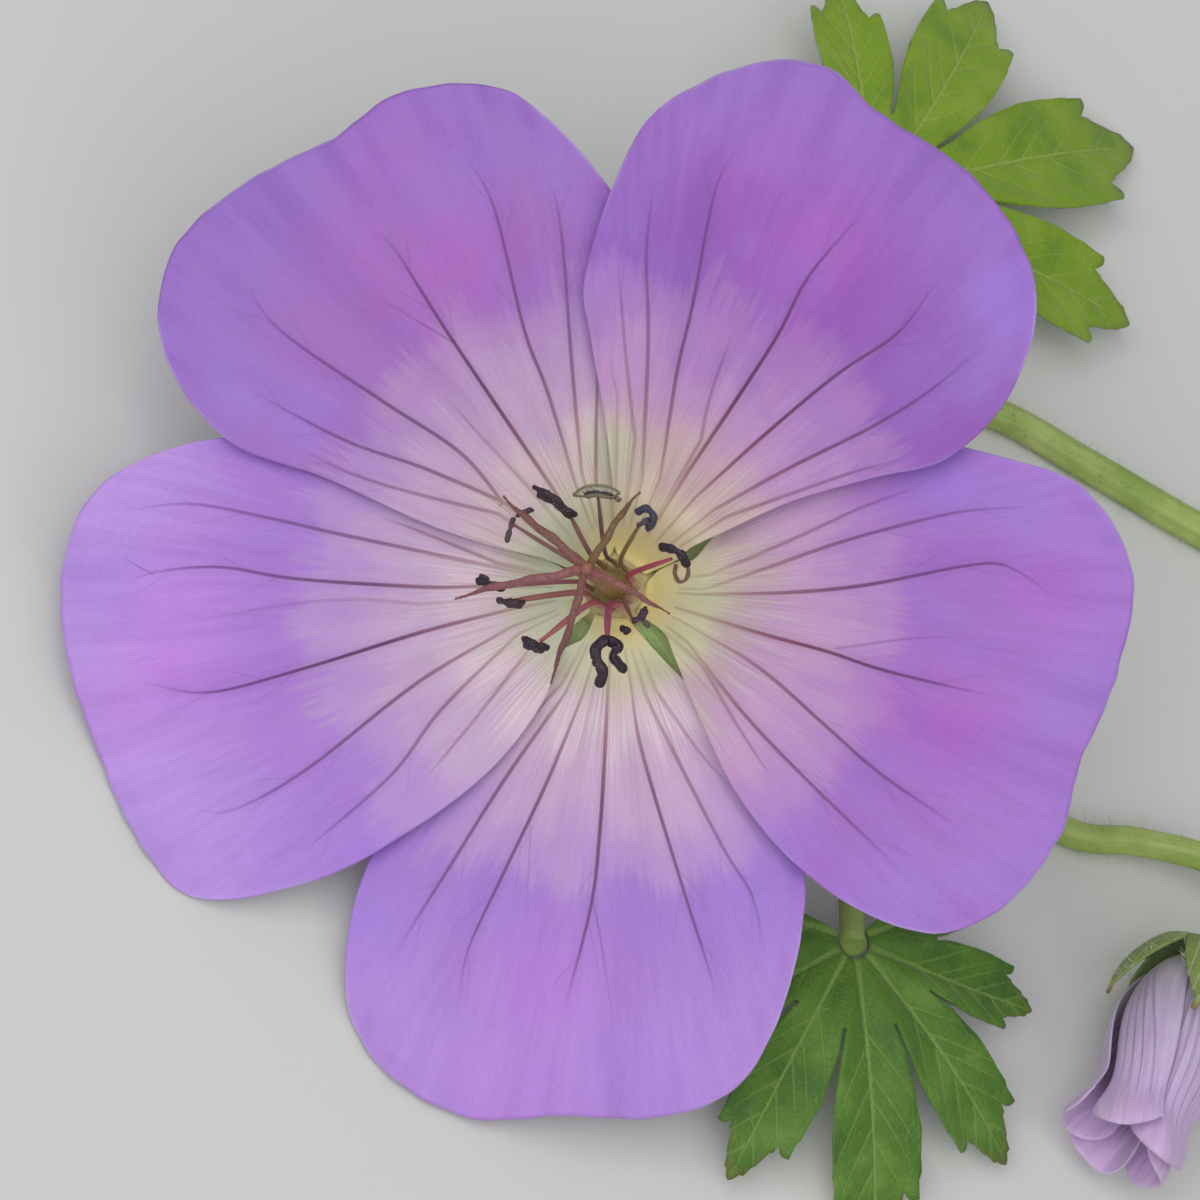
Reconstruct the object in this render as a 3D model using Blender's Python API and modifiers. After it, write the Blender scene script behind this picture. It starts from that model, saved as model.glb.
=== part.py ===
"""A picked flowering sprig of hardy geranium, lying on a surface with its open flower turned up.

Sizes are in millimetres and become metres where a mesh is made. The flower is built in its own
frame, with x and y across its face and z along its axis, out of the face. The rest is laid out on
the surface, with z = 0 where the sprig rests and the flower's centre over x = y = 0. At the end
the whole sprig is moved so that the origin is at the middle of its box, on the surface.
"""

import math

import bmesh
import bpy
from mathutils import Matrix, Vector

MM = 0.001
BLADE = 0.6  # thickness of petals, sepals and leaves
GAP = 0.3  # between a piece and what carries it

# How the flower faces
FLOWER_TILT = math.radians(30)  # between its axis and the vertical
UPHILL = math.radians(41)  # the direction in which its raised side lies

# The saucer that all petals share, as depth against distance from the axis
SAUCER_DEPTH = 5.6
SAUCER_LENGTH = 8.0
RIM_DROOP_FROM = 18.0
RIM_DROOP = 0.004
CLAW_AT = 2.0  # distance from the axis to the foot of a petal
CLAW_HALF_WIDTH = 1.0
LAYERED_FROM = 2.2  # the petals rise into their layers between these two distances
LAYERED_AT = 5.0
LAYER_STEP = 1.0
FOLD_HEIGHT = 0.35
RIM_WAVE = 0.3
PETAL_CELLS = (12, 12)

# Petals: the direction of each in degrees, its layer, and its outline seen along the axis. The
# outline runs from the claw out along one side, round the rim, and back along the other side.
PETALS = {
    "petal_top_right": {
        "toward": 54.2,
        "layer": 2.0,
        "out": ((-0.1, 5.2), (-0.6, 9.2), (-1.3, 13.1), (-1.6, 16.0), (-0.2, 20.6)),
        "rim": (
            (2.2, 24.7), (7.3, 27.2), (11.0, 27.0), (13.6, 24.5), (18.2, 21.7), (21.1, 17.5), (21.8, 14.0),
        ),
        "back": ((20.3, 9.8), (17.2, 6.7), (13.4, 5.7), (9.2, 4.5), (5.2, 2.9)),
    },
    "petal_top_left": {
        "toward": 127.7,
        "layer": 1.0,
        "out": ((-3.9, 1.6), (-6.8, 2.3), (-10.2, 3.5), (-15.0, 5.7), (-20.2, 7.7)),
        "rim": (
            (-23.4, 12.2), (-23.2, 17.0), (-20.4, 20.3), (-14.9, 23.2), (-11.6, 25.6), (-7.0, 26.1), (-4.2, 25.0),
        ),
        "back": ((-0.9, 21.6), (0.9, 18.2), (1.5, 14.0), (1.1, 9.6), (0.2, 5.4)),
    },
    "petal_left": {
        "toward": 194.6,
        "layer": 0.0,
        "out": ((-2.9, -3.4), (-3.8, -6.0), (-6.4, -9.4), (-10.4, -12.5), (-15.5, -15.2)),
        "rim": (
            (-21.9, -16.1), (-25.2, -12.6), (-27.0, -8.4), (-28.6, -3.4), (-28.9, 0.6), (-27.3, 4.8), (-24.0, 7.0),
        ),
        "back": ((-19.8, 7.9), (-15.8, 7.9), (-11.4, 6.4), (-7.6, 3.9), (-4.6, 1.3)),
    },
    "petal_bottom": {
        "toward": 263.0,
        "layer": -1.0,
        "out": ((2.4, -4.4), (5.4, -6.6), (8.2, -9.6), (9.6, -13.2), (9.9, -17.0)),
        "rim": (
            (8.8, -21.9), (6.4, -26.0), (2.2, -27.8), (-2.6, -27.5), (-7.6, -27.8), (-11.6, -25.6), (-13.8, -22.4),
        ),
        "back": ((-14.0, -18.2), (-12.6, -13.6), (-9.8, -9.8), (-6.6, -6.9), (-3.4, -4.3)),
    },
    "petal_right": {
        "toward": -19.7,
        "layer": 0.5,
        "out": ((4.8, 1.8), (7.2, 4.8), (10.4, 7.0), (14.6, 7.9), (19.4, 7.0)),
        "rim": (
            (24.4, 5.2), (26.9, 0.6), (26.2, -4.4), (24.2, -8.8), (23.3, -12.8), (20.2, -16.5), (16.6, -18.0),
        ),
        "back": ((12.4, -16.6), (9.0, -14.0), (6.4, -10.8), (4.6, -7.2), (3.0, -3.6)),
    },
}

# Sepals, one under each gap between two petals
SEPAL_TOWARD = (91.0, 17.2, -58.4, -131.2, 161.1)
SEPAL_FROM = 1.85
SEPAL_LENGTH = 8.4
SEPAL_HALF_WIDTH = 1.9
SEPAL_POINT = 1.2
SEPAL_POINT_HALF_WIDTH = 0.18
SEPAL_FOOT_SHARE = 0.16  # where on its full bulge a sepal starts
SEPAL_FULLNESS = 0.75
SEPAL_KEEL = 0.25
SEPAL_BELOW = 1.0  # how far its foot lies under the petals' claws
SEPAL_LOWER = 1.1  # how much further it lies under them where they are layered
SEPAL_CELLS = (4, 7)

# Receptacle, as radius against height in the flower's frame
RECEPTACLE = ((0.0, 0.4), (1.3, 0.4), (1.65, 0.1), (1.65, -0.4), (1.5, -0.9), (1.5, -1.6), (1.0, -2.8), (0.0, -2.8))

# Stamens: the place of each anther, the direction of its long axis in degrees, and its length
STAMEN_RING = (0.95, 1.55, 0.7, 1.3)  # inner and outer radius, bottom and top
FILAMENT_RADIUS = 0.27
FILAMENT_HEIGHTS = (1.0, 3.4, 5.4)  # the filaments stand round the pistil up to the last of these
FILAMENT_SPREAD = (1.25, 1.2, 1.5)  # their distance from its middle there
ANTHER_RADIUS = 0.42
STAMENS = (
    ((3.4, 1.0, 7.4), -70, 2.2),
    ((1.7, 3.6, 7.6), -50, 1.7),
    ((-1.2, 5.0, 7.2), 0, 2.2),
    ((-3.2, 4.5, 7.6), -34, 2.3),
    ((-5.3, 3.0, 7.0), 60, 1.9),
    ((-6.7, 0.4, 7.0), -25, 1.9),
    ((-5.2, -0.9, 7.8), -15, 1.9),
    ((-4.2, -3.0, 6.9), -28, 1.9),
    ((-0.4, -3.8, 7.5), 80, 2.4),
    ((1.1, -1.9, 7.4), 5, 1.7),
)

# Pistil: an ovary and a column that leans a little, and five spread stigma arms
COLUMN_FOOT = 0.7
COLUMN_TOP = (-1.5, 1.0, 9.4)
COLUMN_BOW = 1.3
OVARY_RADIUS = 0.62
STYLE_RADIUS = 0.45
STIGMA_TIPS = ((-5.7, 4.7, 9.7), (1.2, 4.9, 9.9), (-8.2, -0.5, 9.4), (-3.2, -4.9, 9.5), (2.8, -1.2, 9.8))
STIGMA_RADII = (0.33, 0.33, 0.3, 0.24, 0.15)
STIGMA_ROOT = 0.3  # how far an arm starts below the column's top
STIGMA_ARCH = 0.45

# Stems, laid out on the surface. FORK is the node where stalks and leaves meet.
FORK = (16.6, 12.8, 1.9)
FORK_RADIUS = 1.95
PRESSED = 0.12  # how deep a lying stem is pressed flat
STALK_RADIUS = 0.95
STALK_BEND = 12.0
BUD_STALK_RADIUS = 0.8
STEM_RADIUS = 1.0
STEM_END_RADIUS = 1.35
STEM_POINTS = 22
STALK_POINTS = 20
BUD_STALK_POINTS = 30
STEM_ROUTE = (
    (22.4, 15.4), (28.1, 15.9), (34.5, 12.9), (41.0, 9.6), (49.0, 6.2), (58.0, 3.6), (69.0, 1.9), (80.0, 1.2),
)
BUD_ROUTE = (
    (18.8, 9.2, 1.4), (21.0, 3.0, 0.85), (24.6, -4.4, 0.85), (30.1, -9.1, 0.9), (34.4, -9.8, 1.5),
    (38.0, -11.0, 2.8), (39.4, -13.0, 4.1), (38.7, -15.2, 5.1),
)
STIPULE_FROM = 1.4
STIPULE_LENGTH = 4.6
STIPULE_HALF_WIDTH = 1.0
STIPULE_LIFT = (0.4, 1.6)  # above the fork's middle at its foot, and how much higher it arches
STIPULES = (53.0, 124.0, -60.0, -126.0)  # directions from the fork, a pair beside each leaf stalk

# Bud, half open
BUD_FOOT = (37.2, -17.2, 5.7)
BUD_TIP = (28.9, -28.8, 5.3)
BUD_RADIUS = 4.1
BUD_NECK_RADIUS = 0.25
BUD_TAPER = 0.12
BUD_SEAT = 1.0  # how far the furled petals start above the bud's foot
BUD_TWIST = math.radians(70)
BUD_GROOVE = 0.09
CALYX_CELLS = (30, 6)
CALYX_TIP = 0.82  # how far a sepal reaches along the bud
CALYX_NOTCH = 0.2
CALYX_FOOT_RADIUS = 1.15
CALYX_FOOT = 0.3
CALYX_FLARE = 0.35

# Leaves: the point where the blade meets its stalk, the direction and length of each lobe from
# there, how far out the cuts between lobes start, and the route of the stalk from the fork
LEAVES = {
    "leaf_upper": {
        "centre": (19.4, 26.4, 5.6),
        "lobes": ((-85, 9.0), (-50, 11.0), (-15, 18.5), (20, 21.5), (55, 18.5), (90, 14.5), (125, 9.5)),
        "cut": 5.4,
        "stalk": ((16.6, 15.3, 2.9), (16.2, 18.6, 4.0), (17.2, 23.4, 5.4)),
    },
    "leaf_lower": {
        "centre": (14.6, -17.4, 4.8),
        "lobes": ((-189, 8.0), (-154, 10.5), (-119, 14.5), (-84, 16.5), (-49, 15.0), (-14, 12.0), (21, 9.0)),
        "cut": 5.0,
        "stalk": ((16.5, 10.2, 2.9), (16.2, 3.0, 2.6), (15.4, -6.0, 3.6), (14.7, -13.8, 4.9)),
    },
}
LEAF_STALK_RADIUS = 0.72
LOBE_HALF_ANGLE = 17.5
# One half of a lobe's edge, from the cut to the tip: share of the half angle, share of the length
LOBE_EDGE = ((0.78, 0.68), (0.58, 0.87), (0.42, 0.82), (0.2, 0.95))
LEAF_ROWS = 4
LEAF_INNER = 1.0  # radius of the blade's inner edge, hidden in the top of the stalk
LEAF_HUB = (1.5, 1.5, 0.75)
LEAF_DROOP = 2.2  # how sharply the blade bends down towards its tips
LEAF_FURROW = 0.5

PAINT = {
    "petal": ((0.40, 0.20, 0.62), 0.6),
    "sepal": ((0.24, 0.36, 0.12), 0.7),
    "stem": ((0.38, 0.46, 0.16), 0.55),
    "leaf": ((0.13, 0.27, 0.07), 0.65),
    "stamens": ((0.25, 0.12, 0.14), 0.6),
    "pistil": ((0.42, 0.14, 0.12), 0.5),
}


def clear_scene():
    for obj in list(bpy.data.objects):
        bpy.data.objects.remove(obj, do_unlink=True)


def paint(obj, name):
    """Gives the object a material of its own with the named colour and roughness."""
    colour, roughness = PAINT[name]
    material = bpy.data.materials.new(obj.name)
    material.use_nodes = True
    shader = material.node_tree.nodes["Principled BSDF"]
    shader.inputs["Base Color"].default_value = (*colour, 1.0)
    shader.inputs["Roughness"].default_value = roughness
    shader.inputs["Metallic"].default_value = 0.0
    obj.data.materials.clear()
    obj.data.materials.append(material)


def add_object(name, data, collection, parent=None):
    obj = bpy.data.objects.new(name, data)
    collection.objects.link(obj)
    obj.parent = parent
    return obj


def evaluated_mesh(obj):
    """A mesh of the object with its modifiers applied and its caps welded."""
    graph = bpy.context.evaluated_depsgraph_get()
    graph.update()
    mesh = bpy.data.meshes.new_from_object(obj.evaluated_get(graph))
    bm = bmesh.new()
    bm.from_mesh(mesh)
    bmesh.ops.remove_doubles(bm, verts=bm.verts, dist=0.001 * MM)
    bm.to_mesh(mesh)
    bm.free()
    return mesh


def made_solid(obj):
    """Replaces the object with a plain mesh of what it evaluates to."""
    mesh = evaluated_mesh(obj)
    solid = bpy.data.objects.new(obj.name + "_solid", mesh)
    solid.matrix_world = obj.matrix_world.copy()
    for collection in obj.users_collection:
        collection.objects.link(solid)
    bpy.data.objects.remove(obj, do_unlink=True)
    return solid


def joined(name, pieces, collection, parent=None):
    """One closed body from overlapping ones, by a Boolean union on a collection."""
    tools = bpy.data.collections.new(name + "_pieces")
    bpy.context.scene.collection.children.link(tools)
    first, *others = [made_solid(piece) for piece in pieces]
    for piece in others:
        for owner in list(piece.users_collection):
            owner.objects.unlink(piece)
        tools.objects.link(piece)
    union = first.modifiers.new("union", "BOOLEAN")
    union.operation = "UNION"
    union.operand_type = "COLLECTION"
    union.collection = tools
    union.solver = "EXACT"
    mesh = evaluated_mesh(first)
    place = first.matrix_world.copy()
    for piece in [first, *others]:
        bpy.data.objects.remove(piece, do_unlink=True)
    bpy.data.collections.remove(tools)
    body = add_object(name, mesh, collection, parent)
    body.matrix_basis = place
    return body


def smooth_route(points, steps=8):
    """Points on a smooth curve through the given ones, with so many steps to each stretch."""
    points = [Vector(p) for p in points]
    ends = [2 * points[0] - points[1], *points, 2 * points[-1] - points[-2]]
    route = []
    for a, b, c, d in zip(ends, ends[1:], ends[2:], ends[3:]):
        for step in range(steps):
            u = step / steps
            bend = (2 * a - 5 * b + 4 * c - d) * u * u + (3 * b - a - 3 * c + d) * u**3
            route.append((2 * b + (c - a) * u + bend) / 2)
    route.append(points[-1])
    return route


def spread(route, count):
    """count + 1 points at even distances along a route."""
    lengths = [0.0]
    for a, b in zip(route, route[1:]):
        lengths.append(lengths[-1] + (b - a).length)
    found = []
    at = 0
    for step in range(count + 1):
        wanted = lengths[-1] * step / count
        while at < len(route) - 2 and lengths[at + 1] < wanted:
            at += 1
        share = (wanted - lengths[at]) / (lengths[at + 1] - lengths[at])
        found.append(route[at].lerp(route[at + 1], min(share, 1.0)))
    return found


def tapering(first, last, count):
    """So many evenly changing values, from the first to the last."""
    return [first + (last - first) * k / (count - 1) for k in range(count)]


def tube(name, points, radii, sides=8):
    """A tube along points, with a radius for each, as a curve object."""
    curve = bpy.data.curves.new(name, "CURVE")
    curve.dimensions = "3D"
    curve.bevel_depth = MM
    curve.bevel_resolution = sides // 2 - 2
    curve.use_fill_caps = True
    spline = curve.splines.new("POLY")
    spline.points.add(len(points) - 1)
    for knot, place, radius in zip(spline.points, points, radii):
        knot.co = (*(Vector(place) * MM), 1.0)
        knot.radius = radius
    return add_object(name, curve, bpy.context.scene.collection)


def turned(name, profile, sides=12):
    """A turned solid about the z axis, from (radius, height) pairs that run from top to bottom."""
    mesh = bpy.data.meshes.new(name)
    bm = bmesh.new()
    corners = [bm.verts.new((radius * MM, 0.0, height * MM)) for radius, height in profile]
    for a, b in zip(corners, corners[1:]):
        bm.edges.new((a, b))
    bm.to_mesh(mesh)
    bm.free()
    obj = add_object(name, mesh, bpy.context.scene.collection)
    screw = obj.modifiers.new("turn", "SCREW")
    screw.steps = sides
    screw.render_steps = sides
    screw.use_merge_vertices = True
    screw.merge_threshold = 0.01 * MM
    return obj


def ellipsoid(name, centre, radii, turn=None, cells=(8, 6)):
    """A stretched sphere, with turn as its rotation."""
    mesh = bpy.data.meshes.new(name)
    bm = bmesh.new()
    bmesh.ops.create_uvsphere(bm, u_segments=cells[0], v_segments=cells[1], radius=1.0)
    stretch = Matrix.Diagonal((*[radius * MM for radius in radii], 1.0))
    place = Matrix.Translation(Vector(centre) * MM) @ (turn or Matrix()) @ stretch
    bmesh.ops.transform(bm, matrix=place, verts=bm.verts)
    bm.to_mesh(mesh)
    bm.free()
    return add_object(name, mesh, bpy.context.scene.collection)


def sheet(name, cells, place, closed=False):
    """A blade: a grid whose (across, along) places, from 0 to 1, place() turns into points.

    A closed one meets itself somewhere: points that fall in one place are merged.
    """
    mesh = bpy.data.meshes.new(name)
    bm = bmesh.new()
    bmesh.ops.create_grid(bm, x_segments=cells[0], y_segments=cells[1], size=0.5)
    for vert in bm.verts:
        vert.co = place(vert.co.x + 0.5, vert.co.y + 0.5) * MM
    if closed:
        bmesh.ops.remove_doubles(bm, verts=bm.verts, dist=0.01 * MM)
    bmesh.ops.triangulate(bm, faces=bm.faces, quad_method="SHORT_EDGE")
    bm.to_mesh(mesh)
    bm.free()
    mesh.shade_smooth()
    obj = add_object(name, mesh, bpy.context.scene.collection)
    thicken = obj.modifiers.new("thickness", "SOLIDIFY")
    thicken.thickness = BLADE * MM
    thicken.offset = 0.0
    return obj


def step_between(low, high, value):
    """A smooth step from 0 at low to 1 at high."""
    share = min(max((value - low) / (high - low), 0.0), 1.0)
    return share * share * (3 - 2 * share)


def toward(degrees):
    return Vector((math.cos(math.radians(degrees)), math.sin(math.radians(degrees))))


def saucer(distance):
    depth = SAUCER_DEPTH * (1 - math.exp(-max(distance - CLAW_AT, 0.0) / SAUCER_LENGTH))
    return depth - RIM_DROOP * max(distance - RIM_DROOP_FROM, 0.0) ** 2


def petal_patch(shape):
    """Even points along a petal's outline: out along one side, back along the other, the rim."""
    axis = toward(shape["toward"])
    side = Vector((-axis.y, axis.x)) * CLAW_HALF_WIDTH
    foot = axis * CLAW_AT
    first = Vector(shape["out"][0])
    corners = sorted((foot + side, foot - side), key=lambda corner: (corner - first).length)
    outline = [corners[0], *shape["out"], *shape["rim"], *shape["back"], corners[1]]
    steps = 8
    route = smooth_route(outline, steps)
    rim_from = (1 + len(shape["out"])) * steps
    rim_to = rim_from + (len(shape["rim"]) - 1) * steps
    across, along = PETAL_CELLS
    out = spread(route[: rim_from + 1], along)
    rim = spread(route[rim_from : rim_to + 1], across)
    back = spread(route[rim_to:], along)[::-1]
    return out, back, rim


def petal_sheet(name, shape):
    out, back, rim = petal_patch(shape)
    across, along = PETAL_CELLS

    def place(s, t):
        i, j = round(s * across), round(t * along)
        sides = out[j].lerp(back[j], s)
        ends = out[0].lerp(back[0], s).lerp(rim[i], t)
        corners = out[0].lerp(back[0], s).lerp(out[-1].lerp(back[-1], s), t)
        flat = sides + ends - corners
        distance = flat.length
        depth = saucer(distance)
        depth += shape["layer"] * LAYER_STEP * step_between(LAYERED_FROM, LAYERED_AT, distance)
        u = 2 * s - 1
        inner = (1 - u * u) ** 2
        depth += FOLD_HEIGHT * math.cos(3 * math.pi * u) * inner * math.sin(math.pi * min(t, 0.5))
        depth += RIM_WAVE * math.sin(5 * math.pi * s) * inner * t**3
        return Vector((flat.x, flat.y, depth))

    return sheet(name, PETAL_CELLS, place)


def sepal_sheet(name, degrees):
    axis = toward(degrees)
    side = Vector((-axis.y, axis.x))

    def place(s, t):
        distance = SEPAL_FROM + SEPAL_LENGTH * t
        bulged = min(SEPAL_FOOT_SHARE + (1 - SEPAL_FOOT_SHARE) * t, 1.0)
        bulge = math.sin(math.pi * bulged) ** SEPAL_FULLNESS
        half = SEPAL_HALF_WIDTH * bulge
        if t > 0.99:
            distance += SEPAL_POINT
            half = SEPAL_POINT_HALF_WIDTH
        u = 2 * s - 1
        flat = axis * distance + side * (u * half)
        depth = saucer(distance) - SEPAL_BELOW
        depth -= SEPAL_LOWER * step_between(LAYERED_FROM, LAYERED_AT, distance)
        depth -= SEPAL_KEEL * (1 - u * u) * bulge
        return Vector((flat.x, flat.y, depth))

    return sheet(name, SEPAL_CELLS, place)


def column_axis(height):
    """The middle of the leaning pistil at a height in the flower's frame."""
    share = (height - COLUMN_FOOT) / (COLUMN_TOP[2] - COLUMN_FOOT)
    lean = max(share, 0.0) ** COLUMN_BOW
    return Vector((COLUMN_TOP[0] * lean, COLUMN_TOP[1] * lean, height))


def stamens(collection, parent):
    inner, outer, bottom, top = STAMEN_RING
    pieces = [
        turned("ring", ((inner, top), (outer, top), (outer, bottom), (inner, bottom), (inner, top)), 20)
    ]
    for index, (anther, degrees, length) in enumerate(STAMENS):
        foot = toward(360 * index / len(STAMENS) + 5)
        anther = Vector(anther)
        axis = [column_axis(height) for height in FILAMENT_HEIGHTS]
        outward = (anther.xy - axis[-1].xy).normalized()
        ways = (foot, foot, (foot + outward).normalized())
        stand = [
            middle + Vector((*way, 0.0)) * distance
            for middle, way, distance in zip(axis, ways, FILAMENT_SPREAD)
        ]
        route = smooth_route((*stand, anther), 3)
        radii = tapering(1.1 * FILAMENT_RADIUS, 0.8 * FILAMENT_RADIUS, len(route))
        pieces.append(tube(f"filament_{index}", route, radii, 6))
        turn = Matrix.Rotation(math.radians(degrees), 4, "Z")
        radii = (length / 2, ANTHER_RADIUS, ANTHER_RADIUS)
        pieces.append(ellipsoid(f"anther_{index}", anther, radii, turn, (6, 5)))
    return joined("stamens", pieces, collection, parent)


def pistil(collection, parent):
    heights = tapering(COLUMN_FOOT, COLUMN_TOP[2], 9)
    radii = [OVARY_RADIUS + (STYLE_RADIUS - OVARY_RADIUS) * min(k / 4, 1.0) for k in range(9)]
    pieces = [tube("column", [column_axis(height) for height in heights], radii, 8)]
    top = Vector(COLUMN_TOP)
    for index, tip in enumerate(STIGMA_TIPS):
        tip = Vector(tip)
        root = top - Vector((0.0, 0.0, STIGMA_ROOT))
        arch = top.lerp(tip, 0.35) + Vector((0.0, 0.0, STIGMA_ARCH))
        route = spread(smooth_route((root, arch, tip), 4), 4)
        pieces.append(tube(f"arm_{index}", route, STIGMA_RADII, 6))
    return joined("pistil", pieces, collection, parent)


def leaf_edge(lobes, cut):
    """The leaf's outline in order, as (angle, distance, share from a lobe's middle to its cut)."""
    edge = [(lobes[0][0] - LOBE_HALF_ANGLE, cut, 1.0)]
    for angle, length in lobes:
        for share, reach in LOBE_EDGE:
            edge.append((angle - share * LOBE_HALF_ANGLE, reach * length, share))
        edge.append((angle, length, 0.0))
        for share, reach in LOBE_EDGE[::-1]:
            edge.append((angle + share * LOBE_HALF_ANGLE, reach * length, share))
        edge.append((angle + LOBE_HALF_ANGLE, cut, 1.0))
    return edge


def leaf(name, shape, collection, parent):
    cut = shape["cut"]
    edge = leaf_edge(shape["lobes"], cut)
    cells = (len(edge) - 1, LEAF_ROWS)
    centre = Vector(shape["centre"])
    longest = max(length for angle, length in shape["lobes"])

    def place(s, t):
        angle, reach, near = edge[round(s * cells[0])]
        if t < 0.5:
            out = LEAF_INNER + (cut - LEAF_INNER) * 2 * t
        else:
            out = cut + (reach - cut) * (2 * t - 1)
        flat = toward(angle) * out
        share = out / longest
        lift = LEAF_FURROW * step_between(0.0, 1.0, near) * step_between(0.0, 0.4, share)
        lift -= (centre.z - BLADE) * share**LEAF_DROOP
        return centre + Vector((flat.x, flat.y, lift))

    blade = sheet(name + "_blade", cells, place, closed=True)
    route = spread(smooth_route((*shape["stalk"], centre), 6), 12)
    pieces = [
        blade,
        tube(name + "_stalk", route, [LEAF_STALK_RADIUS] * len(route), 6),
        ellipsoid(name + "_hub", centre, LEAF_HUB, None, (10, 6)),
    ]
    return joined(name, pieces, collection, parent)


def bud_frame():
    """The bud's own frame, with z from its foot to its tip."""
    foot, tip = Vector(BUD_FOOT), Vector(BUD_TIP)
    turn = (tip - foot).to_track_quat("Z", "Y").to_matrix().to_4x4()
    return Matrix.Translation(foot * MM) @ turn, (tip - foot).length


def bud_radius(share):
    """The furled petals' radius against the share of the way from foot to tip."""
    swell = math.sin(math.pi * min(max(share, 0.0), 1.0) ** 0.8) ** 0.7
    return BUD_NECK_RADIUS + (BUD_RADIUS - BUD_NECK_RADIUS) * swell * (1 - BUD_TAPER * share)


def bud_petals(collection, parent):
    frame, length = bud_frame()
    mesh = bpy.data.meshes.new("bud_petals")
    bm = bmesh.new()
    bmesh.ops.create_uvsphere(bm, u_segments=25, v_segments=12, radius=1.0)
    for vert in bm.verts:
        share = 0.5 + math.asin(max(min(vert.co.z, 1.0), -1.0)) / math.pi
        angle = math.atan2(vert.co.y, vert.co.x)
        turn = (5 * (angle + BUD_TWIST * share) / (2 * math.pi)) % 1.0
        radius = bud_radius(share) * (1 - BUD_GROOVE * turn * min(3 * share, 1.0))
        if share in (0.0, 1.0):
            radius = 0.0
        height = BUD_SEAT + (length - BUD_SEAT) * share
        vert.co = Vector((radius * math.cos(angle), radius * math.sin(angle), height)) * MM
    bmesh.ops.triangulate(bm, faces=bm.faces)
    bm.to_mesh(mesh)
    bm.free()
    mesh.shade_smooth()
    obj = add_object("bud_petals", mesh, collection, parent)
    obj.matrix_basis = frame
    return obj


def bud_calyx(collection, parent):
    frame, length = bud_frame()

    def place(s, t):
        wave = abs(2 * ((5 * s) % 1.0) - 1) if s < 1.0 else 1.0
        reach = CALYX_TIP - (CALYX_TIP - CALYX_NOTCH) * wave**0.8
        share = reach * t
        height = CALYX_FOOT + (length - BUD_SEAT) * share
        radius = bud_radius(share + 0.04) + GAP + BLADE / 2 + CALYX_FLARE * t
        radius = CALYX_FOOT_RADIUS + (radius - CALYX_FOOT_RADIUS) * step_between(0.0, 0.25, t + share)
        angle = 2 * math.pi * s
        return Vector((radius * math.cos(angle), radius * math.sin(angle), height))

    obj = sheet("calyx", CALYX_CELLS, place, closed=True)
    mesh = evaluated_mesh(obj)
    bpy.data.objects.remove(obj, do_unlink=True)
    calyx = add_object("bud_calyx", mesh, collection, parent)
    calyx.matrix_basis = frame
    return calyx


def stipule(index, degrees):
    axis = toward(degrees)
    side = Vector((-axis.y, axis.x))

    def place(s, t):
        half = STIPULE_HALF_WIDTH * math.sin(math.pi * (0.15 + 0.8 * t))
        flat = axis * (STIPULE_FROM + STIPULE_LENGTH * t) + side * ((2 * s - 1) * half)
        lift = STIPULE_LIFT[0] + STIPULE_LIFT[1] * math.sin(math.pi * 0.6 * t)
        return Vector(FORK) + Vector((flat.x, flat.y, lift))

    return sheet(f"stipule_{index}", (2, 4), place)


def stems(flower, collection, parent):
    """The stem with its fork, both flower stalks, the receptacle and the stipules, as one body."""
    axis = flower.to_3x3() @ Vector((0.0, 0.0, 1.0))
    start = flower @ (Vector((0.0, 0.0, RECEPTACLE[-1][1] + 0.6)) * MM) / MM
    leave = -axis
    level = Vector((leave.x, leave.y, 0.0)).normalized()
    lying = STALK_RADIUS - PRESSED
    drop = start.z - lying
    turn = math.acos(level.dot(leave))
    straight = max((drop - STALK_BEND * (1 - math.cos(turn))) / math.sin(turn), 0.2)
    bend = [start, start + leave * straight]
    corner = bend[-1]
    for step in range(1, 6):
        angle = turn * (1 - step / 5)
        run = STALK_BEND * (math.sin(turn) - math.sin(angle))
        fall = STALK_BEND * (math.cos(angle) - math.cos(turn))
        bend.append(corner + level * run - Vector((0.0, 0.0, fall)))
    fork = Vector(FORK)
    stalk = spread(smooth_route((*bend, fork), 5), STALK_POINTS)
    bud_stalk = spread(smooth_route((fork, *BUD_ROUTE, BUD_FOOT), 5), BUD_STALK_POINTS)
    radii = tapering(STEM_RADIUS, STEM_END_RADIUS, len(STEM_ROUTE))
    lying_route = [(x, y, radius - PRESSED) for (x, y), radius in zip(STEM_ROUTE, radii)]
    stem = spread(smooth_route((fork, *lying_route), 5), STEM_POINTS)
    receptacle = turned("receptacle", RECEPTACLE, 12)
    receptacle.matrix_world = flower
    pieces = [
        tube("stem", stem, tapering(STEM_RADIUS, STEM_END_RADIUS, len(stem))),
        tube("stalk", stalk, [STALK_RADIUS] * len(stalk)),
        tube("bud_stalk", bud_stalk, [BUD_STALK_RADIUS] * len(bud_stalk), 6),
        ellipsoid("fork", fork, (2.4, 2.1, FORK_RADIUS), None, (12, 8)),
        receptacle,
        *[stipule(index, degrees) for index, degrees in enumerate(STIPULES)],
    ]
    body = joined("stem", pieces, collection, parent)
    press_flat(body)
    return body


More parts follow.
